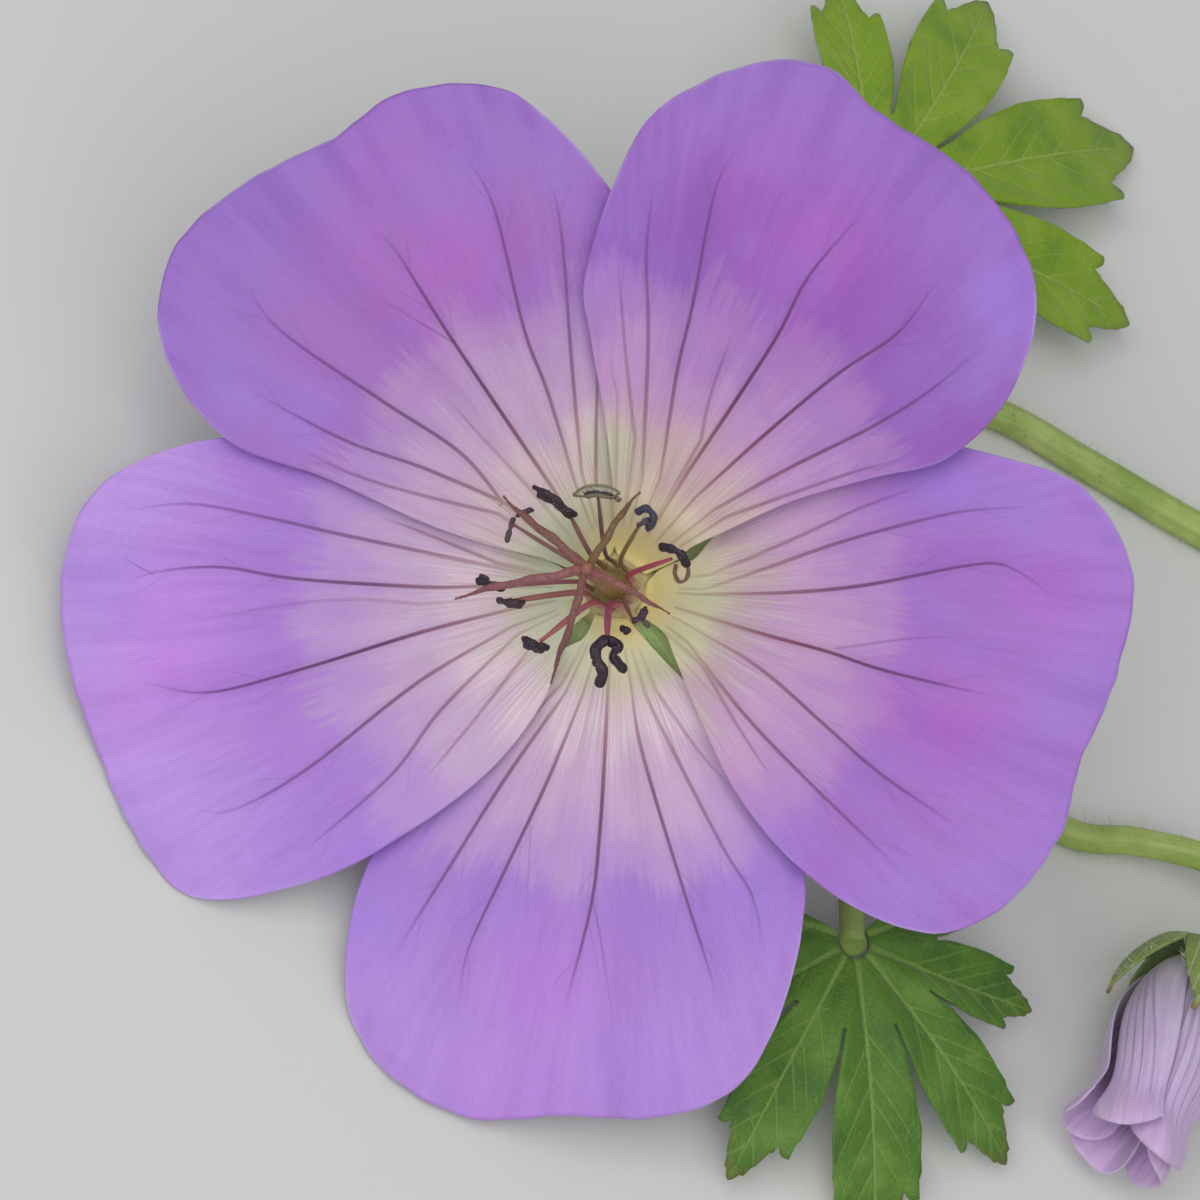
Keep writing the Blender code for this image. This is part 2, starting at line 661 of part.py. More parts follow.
def press_flat(obj):
    """Cuts off what reaches below the surface, leaving flat faces there."""
    bm = bmesh.new()
    bm.from_mesh(obj.data)
    bmesh.ops.transform(bm, matrix=obj.matrix_basis, verts=bm.verts)
    geometry = [*bm.verts, *bm.edges, *bm.faces]
    cut = bmesh.ops.bisect_plane(
        bm, geom=geometry, dist=0.0, plane_co=(0, 0, 0), plane_no=(0, 0, -1), clear_outer=True
    )
    rims = [item for item in cut["geom_cut"] if isinstance(item, bmesh.types.BMEdge)]
    filled = bmesh.ops.holes_fill(bm, edges=rims, sides=0)
    bmesh.ops.triangulate(bm, faces=filled["faces"])
    bm.to_mesh(obj.data)
    bm.free()
    obj.matrix_basis = Matrix()


def world_corners(objects):
    """The lowest and highest corner of the objects' evaluated meshes, in metres."""
    graph = bpy.context.evaluated_depsgraph_get()
    graph.update()
    points = []
    for obj in objects:
        seen = obj.evaluated_get(graph)
        mesh = seen.to_mesh()
        points += [seen.matrix_world @ vert.co for vert in mesh.vertices]
        seen.to_mesh_clear()
    low = Vector([min(point[axis] for point in points) for axis in range(3)])
    high = Vector([max(point[axis] for point in points) for axis in range(3)])
    return low, high


def main():
    clear_scene()
    collection = bpy.data.collections.new("hardy_geranium")
    bpy.context.scene.collection.children.link(collection)
    sprig = add_object("sprig", None, collection)
    flower = add_object("flower", None, collection, sprig)
    across = Vector((-math.sin(UPHILL), math.cos(UPHILL), 0.0))
    flower.matrix_basis = Matrix.Rotation(-FLOWER_TILT, 4, across)

    petals = [petal_sheet(name, shape) for name, shape in PETALS.items()]
    sepals = [sepal_sheet(f"sepal_{k + 1}", angle) for k, angle in enumerate(SEPAL_TOWARD)]
    for blade in petals + sepals:
        bpy.context.scene.collection.objects.unlink(blade)
        collection.objects.link(blade)
        blade.parent = flower
    flower.location.z = -world_corners(petals)[0].z
    seat = Matrix.Translation(flower.location) @ flower.matrix_basis.to_3x3().to_4x4()

    middle = stamens(collection, flower), pistil(collection, flower)
    stem = stems(seat, collection, sprig)
    leaves = [leaf(name, shape, collection, sprig) for name, shape in LEAVES.items()]
    furled, calyx = bud_petals(collection, sprig), bud_calyx(collection, sprig)

    for blade in petals:
        paint(blade, "petal")
    for blade in sepals:
        paint(blade, "sepal")
    for blade in leaves:
        paint(blade, "leaf")
    paint(middle[0], "stamens")
    paint(middle[1], "pistil")
    paint(stem, "stem")
    paint(furled, "petal")
    paint(calyx, "sepal")

    low, high = world_corners([*petals, *sepals, *middle, stem, *leaves, furled, calyx])
    sprig.location = (-(low.x + high.x) / 2, -(low.y + high.y) / 2, -low.z)


main()
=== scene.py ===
"""The looks of a picked flowering sprig of hardy geranium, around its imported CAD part.

Lengths are in millimetres and become metres where a mesh is made. The flower has its own frame,
with x and y across its face and z along its axis, and so has the bud, with z from foot to tip. The
rest is laid out on the surface, with the flower's centre over x = y = 0.
"""

import math
import random

import bmesh
import bpy
import numpy as np
from mathutils import Matrix, Vector


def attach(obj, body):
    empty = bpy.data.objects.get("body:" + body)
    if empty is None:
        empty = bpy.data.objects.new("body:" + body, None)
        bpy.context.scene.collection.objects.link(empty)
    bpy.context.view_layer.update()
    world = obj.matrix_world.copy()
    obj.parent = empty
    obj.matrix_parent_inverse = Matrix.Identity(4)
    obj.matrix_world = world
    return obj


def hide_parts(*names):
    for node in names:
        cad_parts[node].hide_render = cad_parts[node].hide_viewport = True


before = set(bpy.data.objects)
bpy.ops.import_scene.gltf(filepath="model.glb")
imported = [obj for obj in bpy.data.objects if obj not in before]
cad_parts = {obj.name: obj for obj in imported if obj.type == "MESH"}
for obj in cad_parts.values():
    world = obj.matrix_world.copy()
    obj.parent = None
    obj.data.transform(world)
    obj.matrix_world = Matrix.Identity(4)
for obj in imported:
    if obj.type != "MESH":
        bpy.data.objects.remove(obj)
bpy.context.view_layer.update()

MM = 0.001
UP = np.array((0.0, 0.0, 1.0))

# Places and shapes that the CAD part fixes
SPRIG_SHIFT = (-25.753, -3.851, 0.0)
FLOWER_SEAT = 9.715
FLOWER_TILT = math.radians(30)
UPHILL = math.radians(41)
SAUCER_DEPTH = 5.6
SAUCER_LENGTH = 8.0
RIM_DROOP_FROM = 18.0
RIM_DROOP = 0.004
CLAW_AT = 2.0
CLAW_FOOT = 1.5  # the claws go in a little further than in the solids, where they must not touch
CLAW_HALF_WIDTH = 0.85
LAYERED_FROM = 2.2
LAYERED_AT = 5.0
LAYER_STEP = 1.0
FOLD_HEIGHT = 0.35
RIM_WAVE = 0.3

SEPAL_TOWARD = (91.0, 17.2, -58.4, -131.2, 161.1)
SEPAL_FROM = 1.85
SEPAL_LENGTH = 8.4
SEPAL_HALF_WIDTH = 1.9
SEPAL_POINT = 1.2
SEPAL_FOOT_SHARE = 0.16
SEPAL_FULLNESS = 0.75
SEPAL_KEEL = 0.25
SEPAL_BELOW = 1.0
SEPAL_LOWER = 1.1

CUP = (
    (0.0, 0.42), (1.15, 0.38), (1.5, -0.05), (2.0, -0.35), (2.3, -0.75), (2.0, -1.4), (1.6, -1.9),
    (1.05, -2.8),
)
CUP_SIDES = 44
STAMEN_RING = ((0.95, 1.3), (1.55, 1.3), (1.55, 0.7), (0.95, 0.7))
FILAMENT_HEIGHTS = (1.0, 3.4, 5.4)
FILAMENT_SPREAD = (1.25, 1.2, 1.5)
COLUMN_FOOT = 0.7
COLUMN_TOP = (-1.5, 1.0, 9.4)
COLUMN_BOW = 1.3
OVARY_RADIUS = 0.62
STYLE_RADIUS = 0.45
STIGMA_TIPS = ((-5.7, 4.7, 9.7), (1.2, 4.9, 9.9), (-8.2, -0.5, 9.4), (-3.2, -4.9, 9.5), (2.8, -1.2, 9.8))

FORK = (16.6, 12.8, 1.9)
PRESSED = 0.12
STALK_FROM = -2.2  # on the flower's axis
STALK_RADIUS = 0.95
STALK_BEND = 12.0
BUD_STALK_RADIUS = 0.8
STEM_RADII = (0.84, 1.18)  # a little slimmer than the solid, as in the photo
STEM_ROUTE = (
    (22.4, 15.4), (28.1, 15.9), (34.5, 12.9), (41.0, 9.6), (49.0, 6.2), (58.0, 3.6), (69.0, 1.9), (80.0, 1.2),
)
BUD_ROUTE = (
    (18.8, 9.2, 1.4), (21.0, 3.0, 0.85), (24.6, -4.4, 0.85), (30.1, -9.1, 0.9), (34.4, -9.8, 1.5),
    (38.0, -11.0, 2.8), (39.4, -13.0, 4.1), (38.7, -15.2, 5.1),
)
STIPULE_FROM = 1.4
STIPULE_LENGTH = 4.6
STIPULE_HALF_WIDTH = 1.0
STIPULES = (53.0, 124.0, -60.0, -126.0)
LOWEST_HAIR = 0.35
HAIR_DROOP = UP * -0.25

BUD_FOOT = (37.2, -17.2, 5.7)
BUD_TIP = (28.9, -28.8, 5.3)
BUD_RADIUS = 4.1
BUD_NECK_RADIUS = 0.25
BUD_TAPER = 0.12
BUD_SEAT = 1.0
BUD_TWIST = math.radians(70)
BUD_GROOVE = 0.09
MOUTH_RADIUS = 3.3
CALYX_TIP = 0.82
CALYX_REACH = 0.48  # the calyx of the half-open flower stands off its petals, so it seems shorter
CALYX_FOOT_RADIUS = 1.15
CALYX_FOOT = 0.3
BUD_STAMEN_RINGS = ((1.15, 0.7), (0.75, 0.6))  # how far from the middle, and their share of its length

LOBE_HALF_ANGLE = 17.5
LEAF_DROOP = 2.2
LEAF_FURROW = 0.5
LEAF_STALK_RADIUS = 0.72
LEAF_PUFF = 0.2
BLADE = 0.6
# A lobe's edge: share of the way from its middle to its cut, and share of its length
LOBE_EDGE = (
    (0.0, 1.0), (0.07, 0.985), (0.2, 0.93), (0.31, 0.865), (0.42, 0.83), (0.5, 0.86), (0.58, 0.865),
    (0.68, 0.775), (0.78, 0.69), (0.9, 0.56), (1.0, 0.0),
)
TWIG_STARTS = ((1, (0.3, 0.42, 0.54, 0.66, 0.8)), (-1, (0.36, 0.48, 0.6, 0.73, 0.86)))
LEAVES = {
    "leaf_upper": {
        "centre": (19.4, 26.4, 5.6),
        "lobes": ((-85, 9.0), (-50, 11.0), (-15, 18.5), (20, 21.5), (55, 18.5), (90, 14.5), (125, 9.5)),
        "cut": 5.4,
        "tooth": 0.02,
        "root": (16.7, 13.4, 2.2),
        "stalk": ((16.6, 15.3, 2.9), (16.2, 18.6, 4.0), (17.2, 23.4, 5.4)),
    },
    "leaf_lower": {
        "centre": (14.6, -17.4, 4.8),
        "lobes": (
            (-189, 8.0), (-154, 10.5), (-119, 14.5), (-84, 16.5),
            (-49, 15.0), (-14, 12.0), (21, 9.0),
        ),
        "cut": 5.0,
        "tooth": 0.045,
        "root": (16.6, 12.1, 2.4),
        "stalk": ((16.5, 10.2, 2.9), (16.2, 3.0, 2.6), (15.4, -6.0, 3.6), (14.7, -13.8, 4.9)),
    },
}

# How pixels of the photo map to millimetres across the flower
PIXEL = 0.0521
PHOTO_CENTRE = (615, 588)
PHOTO_MIDDLE = (600, 600)

# Petals. Outlines are in millimetres. Veins run from base to tip, as (pixels, darkness), and spots
# are (pixels, radius in millimetres, strength): pink blush, and bright free margins.
# The throat colours are lighter on the left, bottom and top left petals: partly their own colour, partly
# painted light against the shade in the saucer's middle.
PETALS = {
    "petal_top_right": {
        "toward": 54.2,
        "layer": 2.0,
        "out": (
            (-0.02, 2.3), (-0.05, 3.3), (-0.1, 5.2), (-0.6, 9.2),
            (-1.3, 13.1), (-1.6, 16.0), (-0.2, 20.6),
        ),
        "rim": (
            (2.2, 24.7), (7.3, 27.2), (11.0, 27.0), (13.6, 24.5),
            (18.2, 21.7), (21.1, 17.5), (21.8, 14.0),
        ),
        "back": ((20.3, 9.8), (17.2, 6.7), (13.4, 5.7), (9.2, 4.5), (5.4, 2.8), (3.95, 2.1), (3.2, 1.45)),
        "veins": (
            (((642, 478), (648, 344), (646, 260), (650, 214), (657, 180)), 0.65),
            (((661, 478), (676, 375), (692, 306), (715, 191), (742, 145)), 0.8),
            (((688, 471), (772, 344), (807, 279), (864, 212)), 1.0),
            (((701, 440), (707, 410), (715, 383), (734, 331)), 0.5),
            (((696, 497), (772, 429), (837, 375), (898, 333), (937, 279)), 1.0),
            (((715, 509), (791, 467), (868, 429), (925, 394), (986, 344)), 0.8),
            (((726, 517), (791, 494), (849, 474), (906, 459)), 0.6),
            (((635, 438), (626, 358), (621, 301), (616, 255)), 0.45),
            (((617, 395), (612, 370), (610, 345)), 0.3),
        ),
        "pale": 13.4,
        "throat": (216, 182, 190),
        "base": (198, 149, 206),
        "middle": (150, 87, 188),
        "rim_colour": (160, 110, 203),
        "pink": (180, 92, 198),
        "blush": (((820, 250), 4.2, 1.0), ((760, 180), 3.4, 0.7), ((790, 320), 2.6, 0.6)),
        "bright": (((605, 280), 1.8, 0.4), ((612, 235), 1.8, 0.3), ((1010, 300), 2.4, 0.8)),
    },
    "petal_top_left": {
        "toward": 127.7,
        "layer": 1.0,
        "out": ((-3.9, 1.6), (-6.8, 2.3), (-10.2, 3.5), (-15.0, 5.7), (-20.2, 7.7)),
        "rim": (
            (-23.4, 12.2), (-23.2, 17.0), (-20.4, 20.3), (-14.9, 23.2),
            (-11.6, 25.6), (-7.0, 26.1), (-4.2, 25.0),
        ),
        "back": (
            (-0.9, 21.6), (0.9, 18.2), (1.5, 14.0), (1.1, 9.6),
            (0.2, 5.4), (0.05, 3.5), (0.03, 2.4),
        ),
        "veins": (
            (((501, 501), (459, 452), (383, 402), (283, 333), (245, 283)), 0.8),
            (((551, 486), (455, 344), (421, 291), (394, 249), (371, 230)), 1.0),
            (((574, 478), (547, 390), (524, 329), (494, 207), (463, 153)), 0.8),
            (((582, 471), (572, 364), (561, 230), (547, 172)), 0.7),
            (((501, 501), (421, 467), (344, 440), (249, 390)), 0.75),
            (((497, 513), (402, 490), (344, 471), (298, 448)), 0.6),
            (((536, 494), (478, 432), (440, 390)), 0.35),
            (((596, 480), (596, 430), (598, 358)), 0.75),
        ),
        "forks": ((((455, 344), (412, 318), (367, 291)), 0.4),),
        "pale": 13.0,
        "throat": (234, 206, 214),
        "base": (205, 169, 209),
        "middle": (167, 109, 193),
        "rim_colour": (158, 111, 203),
        "pink": (184, 100, 202),
        "blush": (
            ((450, 270), 4.0, 1.0), ((390, 170), 3.4, 0.6),
            ((370, 240), 2.6, 0.7), ((330, 350), 2.6, 0.4),
        ),
        "bright": (((300, 425), 2.2, 0.7), ((380, 480), 2.0, 0.5), ((240, 400), 2.2, 0.6)),
    },
    "petal_left": {
        "toward": 194.6,
        "layer": 0.0,
        "out": ((-2.3, -2.1), (-2.9, -3.4), (-3.8, -6.0), (-6.4, -9.4), (-10.4, -12.5), (-15.5, -15.2)),
        "rim": (
            (-21.9, -16.1), (-25.2, -12.6), (-27.0, -8.4), (-28.6, -3.4),
            (-28.9, 0.6), (-27.3, 4.8), (-24.0, 7.0),
        ),
        "back": ((-19.8, 7.9), (-15.8, 7.9), (-11.4, 6.4), (-7.6, 3.9), (-4.4, 2.0)),
        "veins": (
            (((478, 586), (418, 587), (295, 579), (219, 567), (151, 573), (121, 588)), 0.9),
            (((509, 570), (402, 547), (331, 532), (269, 518), (191, 504), (121, 511)), 0.7),
            (((505, 611), (418, 633), (297, 670), (208, 692), (143, 682)), 1.0),
            (((509, 627), (418, 682), (309, 768), (236, 809), (196, 811)), 0.8),
            (((517, 634), (440, 711), (393, 773), (323, 835), (292, 858)), 0.65),
            (((532, 646), (478, 715), (421, 784)), 0.5),
            (((497, 563), (421, 532), (375, 515)), 0.6),
            (((420, 605), (356, 600), (280, 606), (180, 625)), 0.25),
        ),
        "forks": ((((151, 573), (134, 564), (121, 555)), 0.4),),
        "pale": 13.5,
        "throat": (240, 213, 229),
        "base": (207, 173, 213),
        "middle": (178, 124, 217),
        "rim_colour": (195, 150, 233),
        "pink": (206, 132, 234),
        "blush": (((175, 616), 3.0, 1.0), ((170, 665), 3.2, 1.0), ((130, 700), 2.6, 0.8)),
        "bright": (
            ((370, 860), 3.0, 0.6), ((420, 790), 2.0, 0.6),
            ((300, 860), 3.2, 0.5), ((110, 580), 2.2, 0.4),
        ),
    },
    "petal_bottom": {
        "toward": 263.0,
        "layer": -1.0,
        "out": ((1.6, -2.7), (2.8, -4.0), (5.4, -6.6), (8.2, -9.6), (9.6, -13.2), (9.9, -17.0)),
        "rim": (
            (8.8, -21.9), (6.4, -26.0), (2.2, -27.8), (-2.6, -27.5),
            (-7.6, -27.8), (-11.6, -25.6), (-13.8, -22.4),
        ),
        "back": (
            (-14.0, -18.2), (-12.6, -13.6), (-9.8, -9.8), (-6.6, -6.9),
            (-4.2, -4.4), (-2.7, -3.2), (-1.6, -2.6),
        ),
        "veins": (
            (((608, 693), (605, 755), (600, 831), (591, 907), (563, 1016)), 0.95),
            (((583, 695), (547, 782), (506, 868), (467, 952), (459, 1003)), 0.85),
            (((564, 695), (503, 782), (449, 868), (410, 930), (395, 958)), 0.8),
            (((560, 686), (527, 722), (489, 762)), 0.5),
            (((631, 684), (642, 753), (684, 891), (713, 983), (713, 1006)), 0.85),
            (((646, 696), (684, 772), (726, 853), (753, 898), (765, 956)), 0.6),
            (((657, 692), (700, 753), (734, 791)), 0.45),
        ),
        "forks": (
            (((594, 905), (602, 950), (615, 1040)), 0.35),
            (((530, 826), (528, 880), (524, 930)), 0.25),
        ),
        "pale": 12.8,
        "throat": (244, 217, 236),
        "base": (211, 175, 214),
        "middle": (174, 125, 215),
        "rim_colour": (190, 142, 228),
        "pink": (198, 128, 228),
        "blush": (((545, 985), 3.4, 0.9), ((525, 1085), 3.0, 0.7)),
        "bright": (((770, 900), 2.6, 0.5), ((640, 1090), 3.0, 0.4), ((360, 920), 2.8, 0.7)),
    },
    "petal_right": {
        "toward": -19.7,
        "layer": 0.5,
        "out": (
            (2.4, 0.98), (3.3, 1.4), (4.15, 1.5), (5.05, 2.55),
            (7.2, 4.8), (10.4, 7.0), (14.6, 7.9), (19.4, 7.0),
        ),
        "rim": (
            (24.4, 5.2), (26.9, 0.6), (26.2, -4.4), (24.2, -8.8),
            (23.3, -12.8), (20.2, -16.5), (16.6, -18.0),
        ),
        "back": ((12.4, -16.6), (9.0, -14.0), (6.4, -10.8), (4.6, -7.2), (3.1, -3.5), (2.6, -2.35)),
        "veins": (
            (((700, 595), (791, 593), (868, 585), (964, 566), (1006, 566), (1055, 597)), 0.9),
            (((707, 589), (772, 566), (837, 543), (906, 524), (967, 511), (1032, 507)), 0.7),
            (((711, 574), (791, 540), (868, 505), (929, 484)), 0.55),
            (((703, 615), (772, 636), (830, 652), (887, 671), (990, 696)), 1.0),
            (((692, 627), (761, 669), (830, 730), (883, 776), (960, 828)), 0.8),
            (((688, 642), (745, 715), (807, 780), (898, 868)), 0.75),
            (((703, 665), (738, 726), (776, 784)), 0.5),
        ),
        "forks": ((((837, 648), (925, 638), (998, 640)), 0.4),),
        "pale": 12.1,
        "throat": (204, 172, 188),
        "base": (204, 160, 206),
        "middle": (169, 108, 202),
        "rim_colour": (174, 124, 216),
        "pink": (184, 100, 206),
        "blush": (
            ((960, 725), 3.0, 1.0), ((885, 700), 2.2, 0.6),
            ((1050, 590), 2.6, 0.9), ((855, 488), 2.0, 0.7),
        ),
        "bright": (
            ((770, 850), 2.6, 0.6), ((950, 480), 2.4, 0.7),
            ((1040, 520), 2.0, 0.4), ((860, 900), 2.4, 0.5),
        ),
    },
}
LIME = (((704, 598), 1.7, 0.55), ((690, 640), 1.4, 0.6), ((648, 668), 1.3, 0.5), ((612, 452), 1.6, 0.6))
PETAL_CELLS = (150, 112)
ROUTE_STEPS = 8
VEIN_ROOT = 3.4  # every vein is led in to this distance from the flower's axis
VEIN_HALF_WIDTHS = (0.075, 0.105, 0.06)
VEIN_FADE = ((0, 0.35), (0.2, 0.75), (0.4, 1.0), (0.8, 0.8), (1, 0))
VEIN_PUFF = 0.16
FAR = 30.0  # the distance from the flower's axis at the end of a petal's colour ramp

# Stamens in the order of their feet round the ring: where the filament ends, in pixels, its height,
# its colour and its radius, and the strokes that make the anther: (pixels, radius, colour)
DARK = (50, 34, 44)
POLLEN = (112, 104, 126)
STAMENS = (
    ((671, 559), 7.4, (172, 74, 88), 0.15, (
        (((662, 547), (671, 549), (681, 555), (686, 564)), 0.24, DARK),
        (((685, 562), (688, 571), (685, 580), (678, 582), (674, 574), (675, 566)), 0.11, (124, 92, 70)),
    )),
    ((640, 524), 7.6, (134, 112, 60), 0.13, (
        (((638, 512), (645, 509), (652, 515), (652, 523), (648, 529)), 0.22, (66, 64, 82)),
        (((650, 520), (644, 523), (638, 526)), 0.16, (82, 78, 84)),
    )),
    ((598, 498), 7.2, (112, 76, 72), 0.12, (
        (((574, 495), (584, 488), (597, 486), (610, 488), (619, 493)), 0.08, (142, 138, 108)),
        (((574, 496), (584, 497), (597, 496), (611, 498), (619, 494)), 0.09, (122, 112, 90)),
        (((586, 496), (598, 494), (611, 497)), 0.17, (70, 54, 50)),
        # a painted highlight along the anther
        (((583, 492), (597, 490), (611, 492)), 0.15, (206, 204, 178)),
        (((613, 497), (620, 501)), 0.13, (130, 120, 94)),
    )),
    ((568, 512), 7.6, (146, 98, 92), 0.14, (
        (((535, 488), (545, 494), (557, 501), (567, 510), (575, 515)), 0.21, DARK),
        (((540, 496), (550, 501), (561, 508), (570, 517)), 0.18, (66, 44, 52)),
    )),
    ((512, 524), 7.0, (142, 104, 100), 0.12, (
        (((514, 520), (511, 530), (508, 541)), 0.15, (88, 72, 74)),
        (((518, 516), (529, 511), (533, 511)), 0.14, (72, 54, 60)),
    )),
    ((499, 586), 7.0, (150, 92, 94), 0.13, (
        (((480, 581), (487, 582), (494, 585), (503, 588)), 0.22, DARK),
        (((482, 577), (487, 580)), 0.2, (66, 44, 52)),
    )),
    ((505, 602), 7.8, (164, 106, 100), 0.17, (
        (((500, 600), (508, 602), (516, 603), (524, 602)), 0.22, (70, 50, 52)),
        (((514, 604), (521, 605)), 0.18, DARK),
    )),
    ((541, 641), 6.9, (180, 100, 108), 0.17, (
        (((524, 638), (531, 642), (538, 644), (547, 647)), 0.21, DARK),
        (((526, 645), (534, 648), (543, 650)), 0.17, (66, 44, 52)),
    )),
    ((607, 640), 7.5, (176, 82, 116), 0.2, (
        (((605, 640), (596, 649), (599, 661), (603, 672), (600, 682)), 0.29, DARK),
        (((610, 640), (618, 645), (613, 656), (622, 668)), 0.29, DARK),
        (((594, 654), (597, 664)), 0.2, (66, 44, 52)),
    )),
    ((632, 619), 7.4, (140, 82, 80), 0.14, (
        (((645, 608), (642, 616), (634, 621)), 0.2, (74, 54, 62)),
        (((640, 617), (648, 626)), 0.15, (96, 92, 88)),
        (((622, 628), (628, 631)), 0.2, DARK),
    )),
)
# Stigma arms in the order of their tips: colour near the root, colour of the tip, radius
STIGMA_ARMS = (
    ((154, 104, 92), (112, 70, 68), 0.19),
    ((140, 108, 72), (104, 82, 54), 0.165),
    ((166, 104, 104), (132, 80, 86), 0.19),
    ((146, 94, 88), (108, 70, 74), 0.165),
    ((162, 92, 94), (130, 100, 76), 0.145),
)

SEPAL_CELLS = (26, 64)
STIPULE_CELLS = (12, 30)
BUD_CELLS = (44, 56)
CALYX_CELLS = (28, 60)
LEAF_CELLS = (44, 40)  # across one lobe, and from its inner edge to its outer edge

# The stage, in metres and watts: lights by their place in the flower's frame
FLOOR_REACH = 1.5
LIGHTS = (("key", (-0.07, 0.14, 0.54), 1.65), ("fill", (0.2, -0.12, 0.48), 0.65))
LIGHT_SIZE = 0.5
CAMERA_AWAY = 0.28
CAMERA_AIM = 0.005
SENSOR = 36.0  # millimetres

picks = random.Random(7)


def moved(frame_matrix, points):
    """Points moved by a frame, as an array."""
    turn = np.array(frame_matrix.to_3x3())
    return np.asarray(points, float) @ turn.T + np.array(frame_matrix.translation)


def flower_frame():
    across = Vector((-math.sin(UPHILL), math.cos(UPHILL), 0.0))
    return Matrix.Translation((0.0, 0.0, FLOWER_SEAT)) @ Matrix.Rotation(-FLOWER_TILT, 4, across)


SPRIG = Matrix.Translation(SPRIG_SHIFT)
FLOWER = SPRIG @ flower_frame()


def from_photo(pixels):
    """Places across the flower's face, in millimetres, for pixels of the photo."""
    return (np.asarray(pixels, float) - PHOTO_CENTRE) * (PIXEL, -PIXEL)


def smooth_step(low, high, value):
    share = np.clip((np.asarray(value, float) - low) / (high - low), 0.0, 1.0)
    return share * share * (3 - 2 * share)


def between(a, b, share):
    return a + (b - a) * share


def waves(x, *parts):
    """Sine waves added up, each given as its size, its rate and where it starts."""
    return sum(size * np.sin(rate * x + start) for size, rate, start in parts)


def unit(vector):
    return vector / np.linalg.norm(vector)


def toward(degrees):
    return np.array((math.cos(math.radians(degrees)), math.sin(math.radians(degrees))))


def left_of(way):
    return np.array((-way[1], way[0]))


def even(count):
    """Numbers from 0 to 1 at even distances."""
    return np.linspace(0, 1, count)


def grid_shares(across, along):
    """The share across a blade, as a column, and along it, as a row, for so many cells."""
    return even(across + 1)[:, None], even(along + 1)[None, :]


def raised(flat, height):
    """Places in a plane, with a height for each."""
    return np.concatenate([flat, np.broadcast_to(height, flat.shape[:2])[..., None]], axis=2)


def smooth_route(points, steps=ROUTE_STEPS):
    """Points on a smooth curve through the given ones, with so many steps to each stretch."""
    points = np.asarray(points, float)
    ends = np.vstack([2 * points[0] - points[1], points, 2 * points[-1] - points[-2]])
    u = (np.arange(steps) / steps)[:, None]
    route = []
    for a, b, c, d in zip(ends, ends[1:], ends[2:], ends[3:]):
        bend = (2 * a - 5 * b + 4 * c - d) * u * u + (3 * b - a - 3 * c + d) * u**3
        route.append((2 * b + (c - a) * u + bend) / 2)
    return np.vstack([*route, points[-1:]])


def path_lengths(route):
    steps = np.linalg.norm(np.diff(route, axis=0), axis=1)
    return np.concatenate([[0.0], np.cumsum(steps)])


def spread(route, count):
    """count + 1 points at even distances along a route."""
    lengths = path_lengths(route)
    wanted = np.linspace(0.0, lengths[-1], count + 1)
    return np.column_stack([np.interp(wanted, lengths, column) for column in np.asarray(route).T])


def domed(route, radii, steps=4):
    """A route and its radii with a rounded end added at both ends."""
    route, radii = np.asarray(route, float), np.asarray(radii, float)
    for end in (0, 1):
        route, radii = route[::-1], radii[::-1]
        way = unit(route[-1] - route[-2])
        angles = np.linspace(0.0, np.pi / 2, steps + 1)[1:]
        cap = route[-1] + np.sin(angles)[:, None] * way * radii[-1]
        cap_radii = np.maximum(np.cos(angles), 0.02) * radii[-1]
        route, radii = np.vstack([route, cap]), np.concatenate([radii, cap_radii])
    return route, radii


def saucer(distance):
    depth = SAUCER_DEPTH * (1 - np.exp(-np.maximum(distance - CLAW_AT, 0.0) / SAUCER_LENGTH))
    return depth - RIM_DROOP * np.maximum(distance - RIM_DROOP_FROM, 0.0) ** 2


def nearest_line(points, lines):
    """For a grid of places: signed distance to the nearest line, share along it, and its darkness.

    The sign changes its sense from each line to the next, so that it stays the same half way
    between two neighbours.
    """
    shape = points.shape[:2]
    points = points.reshape(-1, 2)
    best = np.full(len(points), np.inf)
    side = np.ones(len(points))
    share = np.zeros(len(points))
    dark = np.zeros(len(points))
    for index, (route, darkness) in enumerate(lines):
        lengths = path_lengths(route)
        sense = 1.0 if index % 2 else -1.0
        for a, b, start, end in zip(route, route[1:], lengths, lengths[1:]):
            way = b - a
            from_a = points - a
            u = np.clip(from_a @ way / max(way @ way, 1e-12), 0.0, 1.0)
            off = from_a - u[:, None] * way
            distance = np.hypot(off[:, 0], off[:, 1])
            nearer = distance < best
            best[nearer] = distance[nearer]
            cross = way[0] * from_a[:, 1] - way[1] * from_a[:, 0]
            side[nearer] = np.where(cross >= 0, sense, -sense)[nearer]
            share[nearer] = ((start + (end - start) * u) / lengths[-1])[nearer]
            dark[nearer] = darkness
    return [values.reshape(shape) for values in (best * side, share, dark)]


def distance_to(points, route):
    return np.abs(nearest_line(points, [(route, 1.0)])[0])


def lines_on(points, lines, kind, widths=VEIN_HALF_WIDTHS, fade=VEIN_FADE):
    """Values that draw lines on a grid of places in a plane, and the distance to the nearest line.

    widths are half the width at a line's foot, at a third of it and at its tip, and fade is how
    dark it is at shares of its length.
    """
    signed, share, dark = nearest_line(points, lines)
    half = np.interp(share, (0.0, 0.33, 1.0), widths)
    dark = dark * np.interp(share, *zip(*fade))
    return {kind: signed / half, kind + "_near": np.abs(signed), kind + "_dark": dark}


def grid_normals(points):
    normals = np.cross(np.gradient(points, axis=0), np.gradient(points, axis=1))
    return normals / np.maximum(np.linalg.norm(normals, axis=2, keepdims=True), 1e-9)


